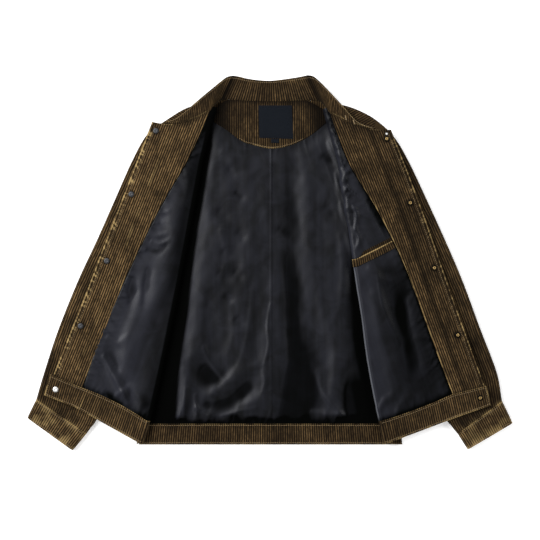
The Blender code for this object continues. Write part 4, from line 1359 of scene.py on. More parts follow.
class JACKET_OT_facings(bpy.types.Operator):
    """Plackets and facings of the fronts, with wales that run along the front edge."""
    bl_idname = "jacket.build_facings"
    bl_label = "Plackets and facings"

    def execute(self, context):
        cloth = context.scene.jacket_cloth
        pitch, depth = wale_size(cloth)
        strips = (("placket", 0.0, PLACKET_WIDTH - SEAM_GAP), ("facing", PLACKET_WIDTH, FACING_STOP))
        for side in SIDES:
            right = side == "right"
            front = FRONTS[side]
            normal = placket_normal(side)
            for part, start, stop in strips:
                placket = part == "placket"
                across = wale_columns(start, stop, pitch, edges=(0.35, 0.9) if placket else ())
                depths = front_depths(side, not placket)

                def curve(share, across=across):
                    return smooth_line(front.placket, share) + across[:, None] * normal

                keep, low, high = clip_columns(curve, lambda x, y: np.minimum.reduce(depths(x, y)))
                keep &= (high - low) * EDGE_REACH > 7
                across, low, high = across[keep], low[keep], high[keep]
                share = low + (high - low) * stretch_rows(250 if placket else 110, EDGE_REACH)[:, None]
                plan = curve(share, across)
                x, y = plan[..., 0], plan[..., 1]
                from_hem, from_neck = depths(x, y)[:2]
                height = over_height(x, y) + SEAM_GAP
                marks = 0.0
                if placket:
                    marks = puckers(share * EDGE_REACH + 0.4 * across, np.maximum(across - 2, 0), 7.6, 16, 31)
                    marks = np.minimum(1.7 * marks, 1)
                strip = 1 - ease((across - 8) / 5)
                rubbed = crease_height(x, y, FACING_CREASES[side])
                ridge = bell(across - PLACKET_WIDTH, 3.2 if right else 4.4)
                fold = 0.7 * ridge if right else -1.1 * ridge
                soft = (0.3 * drift(x, y, 60, 5) + 0.5 * rubbed) * ease(from_hem / 10) * ease(from_neck / 10)
                top = CORDUROY - grooves(across, pitch, depth) * (1 - 0.5 * strip) + fold + soft
                top = top + 0.5 * (marks - 0.5) * strip
                if placket:
                    top = top - round_off(across, 1.6) - 0.3 * bell(across - 8.0, 1.2)
                    rub = 0.8 if right else 0.32
                    wear = (0.95 if right else 0.75) * bell(across - 1.2, 1.0)
                    wear = wear + strip * rub * (1.5 * marks ** 1.2 - 0.1)
                    wear = np.maximum(wear, 0) + 0.5 * bell(from_neck, 2)
                    # painted shade between the gathers and along the placket seam
                    shade = 0.5 * strip * (1 - marks) + (0.1 if right else 0.85) * ridge
                else:
                    from_seam = depths(x, y)[2]
                    wear = (0.35 if right else 0.95) * bell(from_seam, 1.6)
                    wear = wear if right else wear * ease((from_neck - 60) / 120)
                    # painted shade in the groove along the placket seam
                    shade = (0.0 if right else 0.85) * ridge
                top = np.maximum(top, 0.5)
                wear = wear + (0.30 * ridge if right else 0) + 0.15 * rubbed
                # painted shade along the hem and the neck, and over each strip
                shade = shade + 0.6 * bell(from_hem, 3.0) + 0.5 * bell(from_neck, 5)
                shade = shade + FRONT_SHADE[side, part]
                # painted shadow round each snap, where it presses into the cloth
                from_snap = np.min([np.hypot(x - at_x, y - at_y) for at_x, at_y in SNAPS[side]], axis=0)
                shade = shade + 1.2 * bell(np.maximum(from_snap - 5.3, 0), 2.2)
                add_corduroy(
                    cloth, f"{part}_{side}", part, f"{part}_{side}_cloth", np.dstack([plan, height + top]),
                    np.dstack([plan, height]), across, share * EDGE_REACH, np.clip(wear, 0, 2),
                    np.clip(shade, -0.2, 1))
        return {"FINISHED"}


class JACKET_OT_front_linings(bpy.types.Operator):
    """Satin of the fronts, from the facing round the fold and under it, with painted light and shade."""
    bl_idname = "jacket.build_front_linings"
    bl_label = "Front linings"

    def execute(self, context):
        crease = context.scene.jacket_lining.crease
        share = stretch_rows(150, FRONT_REACH, (1.2, 3))
        on_face, round_fold = 2 + np.linspace(0, 1, 66)[:-1], 3 + np.linspace(0, 1, 25)[:-1]
        places = np.concatenate([on_face, round_fold, np.linspace(4, 4.5, 11)])
        for side in SIDES:
            right = side == "right"
            rows = front_rows(side, share)
            flat = row_points(rows, places, SEAM_GAP)
            x, y = flat[..., 0], flat[..., 1]
            run = np.array([distances(row) for row in flat])
            along = share[:, None] * FRONT_REACH
            on_top = 1 - ease((places - 3.38) / 0.4)
            fine = crease_height(x, y, FRONT_CREASES[side])
            fine = fine + 0.5 * (1 + drift(x, y / 2, 60, 7)) + 0.12 * (1 + drift(x, y, 26, 8))
            seam = puckers(along, run, 11, 15, 41 if right else 42)
            hem = puckers(run, along, 14, 14, 43 if right else 44)
            lift = fine + (1.3 + 0.9 * (1 - ease((along - 200) / 100))) * seam + 1.3 * hem
            upper_half = ease((along - 290) / 60)
            if not right:
                lift = lift + 1.9 * puckers(along, np.abs(places - 2.95) * 60, 11, 24, 45) * upper_half
            lift = crease * np.maximum(lift, 0) * on_top
            lift = lift * ease(run / 3) * ease(along / 4) * ease((FRONT_REACH - along) / 4)
            upper = row_points(rows, places, SEAM_GAP + SATIN + lift)
            lower = row_points(rows, places, SEAM_GAP + lift)
            lit, shade = satin_tones(upper)
            to_fold = (run[:, places <= 3].max(axis=1)[:, None] - run) * (places < 3)
            # painted shade at the hem, along the facing seam, near the neck, in crease troughs and between
            # gathers
            shade = shade + 0.7 * bell(along, 7) + 0.4 * bell(run, 4) + 0.5 * bell(run, 1.6)
            shade = shade + 0.5 * ease((along - 480) / 60) * (places > 2.3)
            shade = shade + 0.75 * ease((0.5 - fine) / 2.4)
            shade = shade + 0.45 * puckers(along + 0.8 * run, run, 10, 14, 47 if right else 48)
            if right:
                # painted shade towards the fold and on its roll, and a painted highlight further from it
                gloom = 26 + 14 * ease((along - 320) / 120)
                shade = shade + 0.60 * (1 - ease((to_fold - 4) / gloom)) + ease((places - 3.12) / 0.3)
                lit = lit + 0.42 * ease((to_fold - 16) / 34) * (1 - 0.7 * ease((along - 300) / 180))
            else:
                # painted shade below the welt and in the pits between the crinkles
                below = 1 - ease((along - 250) / 40)
                pits = puckers(along, np.abs(places - 2.98) * 60, 12, 18, 46) * upper_half
                shade = shade + 0.16 * below + ease((places - 3.42) / 0.1) + 0.55 * pits
                # painted highlight above the welt, and painted shade far from the fold below it
                lit = lit + 0.17 * (1 - below) * ease((500 - along) / 60)
                shade = shade + 0.30 * ease((to_fold - 30) / 30) * below
                # painted glint on the fold's edge, and a painted highlight beside it
                rim = 1.8 * bell(places - 3.33, 0.09)
                lit = lit + (rim + 0.36 * (1 - ease((to_fold - 12) / 24))) * below
            lit = lit * on_top * ease((run - 1) / 4)
            add_shell(
                f"front_lining_{side}_satin", upper, lower, run, along, lit, np.clip(shade, 0, 1),
                satin("creased_satin", context.scene.jacket_lining), [f"front_lining_{side}"])
        return {"FINISHED"}


# ---------------------------------------------------------------- bands

class JACKET_OT_bands(bpy.types.Operator):
    """Hem bands of the fronts and the back, with wales across them."""
    bl_idname = "jacket.build_bands"
    bl_label = "Hem bands"

    def execute(self, context):
        cloth = context.scene.jacket_cloth
        pitch, depth = wale_size(cloth)
        low = stretch_rows(7, BAND_WIDTH, (0.4, 1.0, 2.0, 3.2))
        low[0] = -SEAM_LIFT / BAND_WIDTH
        from_seam, from_edge = low[:, None] * BAND_WIDTH, (1 - low[:, None]) * BAND_WIDTH
        quilt = quilting(from_seam, from_edge)
        fine = np.linspace(0, 6, 601)
        ends = []
        for side in SIDES:
            right = side == "right"
            rows = band_rows(side, low)
            curl = (rows.under - rows.landing) / 2
            ends.append(rows.side + np.array((FRONTS[side].inward, 0)) * (curl + rows.edge + SEAM_GAP))
            line = row_points(band_rows(side, np.array([0.4])), fine, 0.0)[0]
            across = wale_columns(0.0, line_length(line), pitch, edges=(0.4, 1.0, 2.0))
            places = arc_places(line, fine, across)
            dip = grooves(across, pitch, depth)
            plump = 0.35 * np.sin(math.pi * low[:, None]) * (1 + 0.6 * drift(across, from_seam, 34, 9))
            trim = round_off(from_edge, 1.5) + round_off(across, 1.5) + round_off(from_seam, 0.8) * 0.6
            upper = row_points(rows, places, BAND_INNER - dip - quilt + plump - trim)
            lower = row_points(rows, places, BAND_OUTER + dip + quilt + trim)
            wear = 0.60 * bell(from_seam, 1.3) + 1.0 * bell(from_edge, 1.6) + 0.9 * bell(across, 2.0)
            wear = wear + 0.25 * bell(from_edge - 4, 3)
            # painted shade along the stitch line, over the left band and towards the fold
            shade = 0.35 * bell(from_seam - QUILT_AT, 0.8) + 0.45 * (not right)
            shade = shade + 0.35 * ease((places - 2.6) / 0.8)
            if right:
                wear = wear + 0.5 * bell(across - BAND_JOIN, 1.3)
                shade = shade + 0.5 * bell(across - BAND_JOIN - 3, 1.4)
            add_corduroy(
                cloth, f"front_band_{side}", "band", f"band_{side}_cloth", upper, lower, across, from_seam,
                np.clip(wear, 0, 1), np.clip(shade, 0, 1))

        across = wale_columns(0.0, float(ends[1][0, 0] - ends[0][0, 0]), pitch)
        share = (across / across[-1])[:, None]
        plan = ends[0][:, None] + (ends[1] - ends[0])[:, None] * share
        dip, trim = grooves(across, pitch, depth), round_off(from_edge, 1.5)
        upper = np.dstack([plan, BAND - dip - trim - quilt])
        lower = np.dstack([plan, dip + trim])
        wear = 0.45 * bell(from_seam, 1.4) + 0.7 * bell(from_edge, 1.6)
        # painted shade along the seam and over the whole back band
        shade = np.clip(0.56 + 0.4 * bell(from_seam, 5), 0, 1)
        add_corduroy(
            cloth, "back_band", "back_band", "back_band_cloth", upper, lower, across, from_seam, wear, shade)
        return {"FINISHED"}


# ---------------------------------------------------------------- sleeves and cuffs

def raglan_section(side):
    front = FRONTS[side]
    armpit, neck = np.array(front.side[1], dtype=float), np.array(front.side[2], dtype=float)
    seam = unit(neck - armpit)
    clear = np.array((-seam[1], seam[0])) * front.inward * SEAM_GAP
    return Section(neck + clear, armpit + clear, RAGLAN_HEIGHT)


def half_ring(at, run, offset, face, dome=0.0, ripples=()):
    """Points at distances run from the outer fold, over the top (face 1) or the bottom (face -1)
    of a flattened tube that lies on the floor. at holds its outer fold, inner fold and height."""
    outer, inner, height = at[..., :2], at[..., 2:4], at[..., 4]
    radius = height / 2
    along = unit(inner - outer)
    start = outer + along * radius[..., None]
    flat = np.linalg.norm(inner - outer, axis=-1) - height
    quarter = math.pi * radius / 2
    shell = radius - offset
    angle = np.clip(run / radius, 0, math.pi / 2)
    back = np.clip((run - quarter - flat) / radius, 0, math.pi / 2)
    reach = -shell * np.cos(angle) + np.clip(run - quarter, 0, flat) + shell * np.sin(back)
    plan = start + along * reach[..., None]
    rise = shell * np.minimum(np.sin(angle), np.cos(back))
    level = np.clip((run - quarter) / flat, 0, 1)
    firm = np.sin(math.pi * level)
    swell = np.zeros_like(rise)
    if face > 0:
        pressed = ripple_height(plan[..., 0], plan[..., 1], ripples)
        swell = dome * firm + pressed * np.clip(firm * 4, 0, 1) * (dome > 0)
    return np.dstack([plan, radius + face * rise + swell])


class JACKET_OT_sleeves(bpy.types.Operator):
    """Sleeves, flat under the fronts. Their wales follow the outer fold and end at the underarm seam."""
    bl_idname = "jacket.build_sleeves"
    bl_label = "Sleeves"

    def execute(self, context):
        cloth = context.scene.jacket_cloth
        pitch, depth = wale_size(cloth)
        for side in SIDES:
            right = side == "right"
            sections = SLEEVES[side] + [raglan_section(side)]
            table = np.array([[*s.outer, *s.inner, s.height] for s in sections], dtype=float)
            fine = np.linspace(0, 1, 161)
            cut = smooth_line(table, fine)
            edge = smooth_line(table[:, :2], np.linspace(0, 1, 401))
            radius = cut[:, 4] / 2
            flat = np.linalg.norm(cut[:, 2:4] - cut[:, :2], axis=1) - 2 * radius
            quarter = math.pi * radius / 2
            reach = np.linspace(0, 1, 121)
            way = unit(cut[:, 2:4] - cut[:, :2])
            spots = cut[:, None, :2] + way[:, None] * (radius[:, None] + flat[:, None] * reach)[..., None]
            away = np.linalg.norm(spots[:, :, None] - edge[None, None, ::4], axis=-1).min(axis=2)
            away = np.maximum.accumulate(away, axis=1)
            wales = quarter[:, None] + away - away[:, :1]
            slant = (wales[:, -1] - wales[:, -8]) / (flat * 7 / 120)
            limit = wales[:, -1] + quarter * slant
            across = wale_columns(0.0, limit.max() - 1.0, pitch, 3)
            runs = np.array([
                np.interp(across, [0, *counted, end], [0, *(turn + level * reach), 2 * turn + level])
                for counted, end, turn, level in zip(wales, limit, quarter, flat)
            ])
            open_rows = limit[:, None] >= across
            keep = open_rows.sum(axis=0) > 8
            across, runs, open_rows = across[keep], runs[:, keep], open_rows[:, keep]
            start = fine[open_rows.argmax(axis=0)]
            stop = fine[len(fine) - 1 - open_rows[::-1].argmax(axis=0)]
            share = start + (stop - start) * stretch_rows(44, 560)[:, None]
            run = np.stack([np.interp(share[:, k], fine, runs[:, k]) for k in range(len(across))], axis=1)
            at = smooth_line(table, share)
            dome = SLEEVE_DOME * ease((1 - share) * 10)
            yoke = ease((share - YOKE_START) * 200)
            groove = grooves(across, pitch, depth) * (1 - yoke)
            grids = []
            for offset in (groove, CORDUROY):
                under, over = (half_ring(at, run, offset, face, dome, SLEEVE_RIPPLES) for face in (-1, 1))
                grids.append(np.hstack([under[:, :0:-1], over]))
            share, yoke = (np.hstack([value[:, :0:-1], value]) for value in (share, yoke))
            length = share * SLEEVE_REACH
            x, y = grids[0][..., 0], grids[0][..., 1]
            both = np.concatenate([-across[:0:-1], across])
            crossing = (y - 0.58 * np.abs(x)) * 0.86
            both = both + (crossing - both) * yoke
            # painted shade in the pressed creases, over the left sleeve, at the cuff seam and on the shoulder
            # strips
            crease = -ripple_height(x, y, SLEEVE_RIPPLES) / 2.4
            wear = 0.32 * bell(both, 4) * (1 - yoke) * (0.5 + 0.5 * drift(x, y, 50, 15))
            wear = wear + 0.3 * bell(length, 4) + (0.05 if right else 0.14)
            shade = np.clip(crease, 0, 1) * 0.8 + (-0.04 if right else 0.46) + 0.3 * bell(length, 3)
            shade = shade + (0.35 if right else 0.12) * yoke
            add_corduroy(
                cloth, f"sleeve_{side}", "sleeve", f"sleeve_{side}_cloth", *grids, both, length,
                np.clip(wear, 0, 1), np.clip(shade, -0.1, 1))
        return {"FINISHED"}


class JACKET_OT_cuffs(bpy.types.Operator):
    """Open cuffs at the ends of the sleeves."""
    bl_idname = "jacket.build_cuffs"
    bl_label = "Cuffs"

    def execute(self, context):
        cloth = context.scene.jacket_cloth
        pitch, depth = wale_size(cloth)
        low = stretch_rows(8, CUFF_WIDTH, (0.4, 1.0, 2.0, 3.2))[:, None]
        low[0] = -SEAM_LIFT / CUFF_WIDTH
        from_seam, from_edge = low * CUFF_WIDTH, (1 - low) * CUFF_WIDTH
        trim = round_off(from_edge, 1.5) + quilting(from_seam, from_edge) + round_off(from_seam, 0.8) * 0.5
        for side in SIDES:
            seam, hem = CUFFS[side]
            down = unit(np.array(hem.outer, dtype=float) - seam.outer) * SEAM_LIFT
            start = np.array([*(seam.outer + down), *(seam.inner + down), seam.height])
            end = np.array([*hem.outer, *hem.inner, hem.height], dtype=float)
            at = start + (end - start) * low[..., None]
            radius = at[..., 4] / 2
            full = np.linalg.norm(at[..., 2:4] - at[..., :2], axis=-1) - 2 * radius + math.pi * radius
            length = float(full.mean())
            count = round(length / pitch)
            across = np.arange(count * 4 + 1) * length / (count * 4)
            run = full * across / length
            at = np.broadcast_to(at, run.shape + (5,))
            grids = []
            for offset in (grooves(across, length / count, depth) + trim, BAND - round_off(from_edge, 1.2)):
                under, over = (half_ring(at, run, offset, face) for face in (-1, 1))
                grids.append(np.hstack([under[:, ::-1], over[:, 1:]]))
            both = np.concatenate([-across[::-1], across[1:]])
            fold = np.minimum(np.abs(both), length - np.abs(both))
            wear = 0.85 * bell(from_edge, 1.8) + 0.5 * bell(from_seam, 1.5) + 0.3 * bell(fold, 4)
            wear = wear + 0.25 * bell(from_edge - 5, 4) + (0.38 if side == "right" else 0.30)
            shade = 0.5 * bell(from_seam, 2.5) - 0.12
            add_corduroy(
                cloth, f"cuff_{side}", "cuff", f"cuff_{side}_cloth", *grids, both, from_seam,
                np.clip(wear, 0, 1), shade, closed=True)
        return {"FINISHED"}


# ---------------------------------------------------------------- collar and welt

def collar_sections():
    """The collar's sections from the right front round the back to the left front."""
    fronts = {}
    for side in SIDES:
        fronts[side] = []
        for place, top_x, top_y, floor, top_floor in COLLAR_FRONTS[side]:
            seam = front_point(side, 1.0, place, 0.0)[:2]
            seam = seam + unit(np.array((top_x, top_y)) - seam) * 1.5 * SEAM_LIFT
            fronts[side].append(NeckSection(seam[0], seam[1], top_x, top_y, floor, top_floor))
    return np.array(fronts["right"] + COLLAR_BACK + fronts["left"][::-1], dtype=float)


class JACKET_OT_collar(bpy.types.Operator):
    """Stand collar, laid flat, with wales across it."""
    bl_idname = "jacket.build_collar"
    bl_label = "Collar"

    def execute(self, context):
        cloth = context.scene.jacket_cloth
        pitch, depth = wale_size(cloth)
        sections = collar_sections()
        fine = np.linspace(0, 1, 1201)
        line = smooth_line(sections, fine)
        middle = np.stack([(line[:, 0] + line[:, 2]) / 2, (line[:, 1] + line[:, 3]) / 2], axis=-1)
        across = wale_columns(0.0, line_length(middle), pitch)
        at = smooth_line(sections, arc_places(middle, fine, across))
        up = stretch_rows(8, 42, (0.4, 1.0, 2.0, 3.4))[:, None]
        up[0] = -0.018
        x = at[:, 0] + (at[:, 2] - at[:, 0]) * up
        y = at[:, 1] + (at[:, 3] - at[:, 1]) * up
        floor = np.maximum(at[:, 4] + (at[:, 5] - at[:, 4]) * up, 0)
        height = np.hypot(at[:, 2] - at[:, 0], at[:, 3] - at[:, 1])
        from_seam, from_edge = up * height, (1 - up) * height
        dip, trim = grooves(across, pitch, depth), round_off(from_edge, 1.8)
        roll = 0.6 * np.sin(math.pi * up) * (1 + 0.5 * drift(x, y, 45, 17))
        right_bend, left_bend = (
            x - np.interp(y, *np.array(COLLAR_BEND[side], dtype=float)[:, ::-1].T) for side in SIDES)
        creased = 0.8 * bell(right_bend + 2.5, 3) - 0.9 * bell(right_bend - 3, 4) - 1.0 * bell(left_bend, 5)
        soft = ease(from_seam / 6) * ease(from_edge / 6)
        top = floor + COLLAR - dip - trim + roll + creased * soft - 0.45 * bell(from_edge - 4.5, 1.0)
        upper = np.dstack([x, y, top])
        skirt = np.maximum(floor - 2.5, 0) * (1 - ease(up / 0.12)) * (1 - ease((np.abs(x) - 104) / 5))
        lower = np.dstack([x, y, floor + dip + trim - skirt])
        # painted shadow beside the right bend, with a painted highlight on its lit side
        bend = ease((right_bend + 0.5) / 1.5) * np.exp(-np.maximum(right_bend, 0) / 9)
        wear = 0.55 * bell(from_edge, 2.0) + 0.25 * bell(from_seam, 1.6)
        wear = wear + 0.25 * drift(x, y, 40, 18) * bell(from_edge, 12)
        wear = wear + 0.55 * bell(from_seam - 3.4, 0.9) * ease((np.abs(x) - 112) / 10)
        # painted shade in the left bend, along the seam, over the collar and more on the right front's end
        shade = 1.6 * bend + 1.1 * bell(left_bend, 6) + 0.25 * bell(from_seam, 3) + 0.46
        shade = shade - 0.25 * bell(right_bend + 5, 5) + 0.16 * ease((-x - 60) / 40)
        add_corduroy(
            cloth, "collar", "collar", "collar_cloth", upper, lower, across, up * COLLAR_REACH,
            np.clip(wear, 0, 1), np.clip(shade, 0, 1.7))
        return {"FINISHED"}


class JACKET_OT_welt(bpy.types.Operator):
    """Welt of the inside pocket on the left front's lining."""
    bl_idname = "jacket.build_welt"
    bl_label = "Pocket welt"

    def execute(self, context):
        cloth = context.scene.jacket_cloth
        pitch, depth = wale_size(cloth)
        floor = SEAM_GAP + SATIN + SEAM_GAP
        fine = np.concatenate([2.03 + 0.97 * np.linspace(0, 1, 60)[:-1], 3 + np.linspace(0, 0.33, 20)])
        slope = WELT_AT_FOLD - WELT_AT_FACING
        middle = WELT_AT_FACING + slope * np.minimum(fine - 2, 1)
        line = np.array([front_point("left", *spot, floor) for spot in zip(middle, fine)])
        across = wale_columns(0.0, line_length(line), pitch, edges=(0.5, 1.2))
        places = arc_places(line, fine, across)
        reach = np.minimum(places - 2, 1)
        level = np.array((-1, -0.93, -0.8, -0.6, -0.2, 0.2, 0.45, 0.6, 0.68, 0.78, 1.0, 1.2, 1.38, 1.46, 1.5))
        grids = []
        to_end = across[-1] - across
        ends = np.minimum(across, to_end)
        lip = 0.12 + 0.88 * ease((to_end - 14) / 12)
        for high in (True, False):
            lines = []
            for value in level:
                up = value if value < LIP_START else LIP_START + (value - LIP_START) * lip
                share = WELT_AT_FACING + slope * reach + up * WELT_HALF
                inset = min(value + 1, 1.5 - value) * WELT_REACH
                sunk = 0.7 * float(ease((value - LIP_START) / 0.14))
                trim = np.minimum(round_off(inset, 0.9) + round_off(ends, 0.9) + sunk, 1.3)
                thick = WELT_THICK - grooves(across, pitch, depth) * (1 - sunk) - trim
                offset = np.broadcast_to(floor + 1.0 + thick * high, share.shape)
                lines.append([front_point("left", *spot) for spot in zip(share, places, offset)])
            grids.append(np.array(lines))
        from_line = (0.595 - level)[:, None] * WELT_REACH
        wear = 2.2 * bell(from_line, 0.9) + 1.2 * bell(to_end - 1, 1.2) * ease((from_line + 0.6) / 0.6)
        # painted shade over the welt, less along the worn line and most on the lip sunk into the pocket mouth
        shade = 0.66 - 0.55 * bell(from_line, 1.0) + 0.55 * ease((-0.8 - from_line) / 0.6)
        add_corduroy(
            cloth, "pocket_welt", "welt", "pocket_welt_cloth", *grids, across, level[:, None] * WELT_REACH,
            wear, shade)
        return {"FINISHED"}


# ---------------------------------------------------------------- label and tab

class JACKET_OT_label(bpy.types.Operator):
    """Bare woven label and size tab on the neck facing."""
    bl_idname = "jacket.build_label"
    bl_label = "Label and size tab"

    def execute(self, context):
        colour = context.scene.jacket_lining.label_colour
        ribbon = woven("bare_ribbon", colour, [c * 2.4 for c in colour])
        floor = CORDUROY + SEAM_GAP + CORDUROY + SEAM_GAP
        for node, corners, thick, part, count in (
            ("label", LABEL, LABEL_THICK, "label", 25),
            ("size_tab", SIZE_TAB, SIZE_TAB_THICK, "tab", 13),
        ):
            top_left, top_right, low_right, low_left = (np.array(corner, dtype=float) for corner in corners)
            s, t = np.linspace(0, 1, count), np.linspace(0, 1, count)[:, None]
            low_line = (low_left + (low_right - low_left) * s[:, None])[None]
            top_line = (top_left + (top_right - top_left) * s[:, None])[None]
            plan = low_line * (1 - t[..., None]) + top_line * t[..., None]
            width, height = np.linalg.norm(top_right - top_left), np.linalg.norm(top_left - low_left)
            edge = np.minimum(np.minimum(s, 1 - s) * width, np.minimum(t, 1 - t) * height)
            if part == "label":
                dome = 0.9 * ease(edge / 9) * (0.7 + 0.3 * drift(plan[..., 0], plan[..., 1], 60, 19))
                hem = 0.25 * bell(edge - 1.6, 0.9)
            else:
                dome = np.broadcast_to(0.3 * np.sin(math.pi * t), edge.shape)
                hem = 0.0
            upper = np.dstack([plan, floor + thick + dome - hem - round_off(edge, 0.4)])
            lower = np.dstack([plan, floor + dome * 0.5])
            add_shell(
                f"{node}_ribbon", upper, lower, s * width, t * height, 0.0, 0.5 * bell(edge - 1.8, 0.8),
                ribbon, [node])
        return {"FINISHED"}


# ---------------------------------------------------------------- snaps

def select_level(mesh, height):
    """Selects the level faces at a height of a mesh in edit mode."""
    bpy.ops.object.mode_set(mode="OBJECT")
    for face in mesh.polygons:
        face.select = abs(face.normal.z) > 0.99 and abs(face.center.z - height) < 1e-6
    bpy.ops.object.mode_set(mode="EDIT")


def turned_blank(radius, height):
    """A disc at the origin with its top face selected, in edit mode."""
    bpy.ops.object.select_all(action="DESELECT")
    bpy.ops.mesh.primitive_cylinder_add(
        vertices=SNAP_CORNERS, radius=radius, depth=height, location=(0, 0, height / 2))
    blank = bpy.context.object
    bpy.ops.object.transform_apply(location=True, rotation=True, scale=True)
    bpy.ops.object.mode_set(mode="EDIT")
    bpy.ops.mesh.select_mode(type="FACE")
    select_level(blank.data, height)
    return blank


def finish_turned(blank, bevel):
    """Rounds the edges of a turned piece and smooths it."""
    bpy.ops.object.mode_set(mode="OBJECT")
    modifier = blank.modifiers.new("edge", "BEVEL")
    modifier.width = bevel
    modifier.segments = 2
    modifier.limit_method = "ANGLE"
    modifier.angle_limit = math.radians(25)
    bpy.ops.object.modifier_apply(modifier="edge")
    bpy.ops.object.shade_smooth_by_angle(angle=math.radians(35))
    return blank


def model_stud(radius, height):
    """A stud: a flat flange with a low knob and a dimple in it."""
    blank = turned_blank(radius, height * 0.45)
    bpy.ops.mesh.inset(thickness=radius * 0.16)
    bpy.ops.transform.translate(value=(0, 0, height * 0.12))
    bpy.ops.mesh.inset(thickness=radius * 0.30)
    bpy.ops.mesh.extrude_region_move(TRANSFORM_OT_translate={"value": (0, 0, height * 0.40)})
    bpy.ops.mesh.inset(thickness=radius * 0.12)
    bpy.ops.mesh.extrude_region_move(TRANSFORM_OT_translate={"value": (0, 0, -height * 0.12)})
    return finish_turned(blank, radius * 0.045)


def model_socket(radius, height):
    """A socket: a rolled ring round a deep well with a spring."""
    blank = turned_blank(radius, height * 0.35)
    for inset, rise in ((0.14, 0.62), (0.17, 0.0), (0.07, -0.40), (0.10, 0.16), (0.24, 0.0), (0.06, -0.10)):
        bpy.ops.mesh.inset(thickness=radius * inset)
        if rise:
            bpy.ops.mesh.extrude_region_move(TRANSFORM_OT_translate={"value": (0, 0, height * rise)})
    return finish_turned(blank, radius * 0.03)


def model_cap(radius, height):
    """The cap on the outside of a snap, domed downwards."""
    blank = turned_blank(radius, height)
    select_level(blank.data, 0.0)
    bpy.ops.mesh.inset(thickness=radius * 0.2)
    bpy.ops.mesh.inset(thickness=radius * 0.5)
    bpy.ops.transform.translate(value=(0, 0, -height * 0.2))
    return finish_turned(blank, radius * 0.05)


def rim_patina(out):
    """Dark rim of a stud or cap. out is 1 at its outer edge."""
    return 0.75 * ease((out - 0.84) / 0.1)


def socket_patina(out):
    """Dark rolled ring and dark middle of a socket."""
    return ease((out - 0.50) / 0.10) + 0.8 * (1 - ease((out - 0.20) / 0.06))


def rivet_patina(out):
    return ease((out - 0.66) / 0.08)


def place_turned(name, master, size, place, radius, darkening, finish, nodes=()):
    """A copy of a turned piece at a place in mm, with its darker parts."""
    mesh = master.data.copy()
    mesh.name = name
    points = np.empty(len(mesh.vertices) * 3)
    mesh.vertices.foreach_get("co", points)
    points = points.reshape(-1, 3)
    spot = (np.array(place) + PLAN_SHIFT) * MM
    mesh.vertices.foreach_set("co", (points * size + spot).ravel())
    dark = darkening(np.hypot(points[:, 0], points[:, 1]) / radius)
    mesh.attributes.new("darkening", "FLOAT", "POINT").data.foreach_set("value", dark)
    mesh.materials.clear()
    add_piece(name, mesh, finish, nodes)


class JACKET_OT_snaps(bpy.types.Operator):
    """Five snaps on each front: studs on the right, sockets on the left, caps outside."""
    bl_idname = "jacket.build_snaps"
    bl_label = "Snaps"

    def execute(self, context):
        snaps = context.scene.jacket_snaps
        nickel = metal("dull_nickel", snaps.nickel_colour, 0.50, [c * 0.45 for c in snaps.nickel_colour])
        bright = metal("polished_nickel", snaps.bright_colour, 0.42, [c * 0.85 for c in snaps.bright_colour])
        brass = metal("worn_brass", snaps.brass_colour, 0.40, [c * 0.6 for c in snaps.brass_colour])
        stud, socket, cap = (
            model_stud(snaps.radius, snaps.height), model_socket(snaps.radius, snaps.height),
            model_cap(snaps.radius + 0.0002, CAP_THICK * MM),
        )
        for side in SIDES:
            for number, (x, y) in enumerate(SNAPS[side], start=1):
                on_band = number == len(SNAPS[side])
                face = float(over_height(x, y))
                inner = face + (BAND_INNER if on_band else SEAM_GAP + CORDUROY) + SEAM_GAP
                outer = face + (BAND_OUTER if on_band else -CORDUROY) - SEAM_GAP - CAP_THICK
                master, darkening, finish, slot = socket, socket_patina, brass, "aged_brass"
                if side == "right":
                    finish, slot = (bright, "bright_nickel") if on_band else (nickel, "grey_nickel")
                    master, darkening = stud, rim_patina
                node = f"{side}_{number}"
                place_turned(
                    f"snap_{node}_face", master, 1.0, (x, y, inner), snaps.radius, darkening, finish,
                    [f"snap_{node}"])
                place_turned(
                    f"cap_{node}_face", cap, 1.0, (x, y, outer), snaps.radius, rim_patina, nickel,
                    [f"cap_{node}"])
        x, y = RIVET
        place = (x, y, float(over_height(x, y)) + SEAM_GAP + CORDUROY)
        place_turned("rivet_left_face", stud, RIVET_SHARE, place, snaps.radius, rivet_patina, bright)
        for master in (stud, socket, cap):
            bpy.data.objects.remove(master)
        return {"FINISHED"}


# ---------------------------------------------------------------- stitches

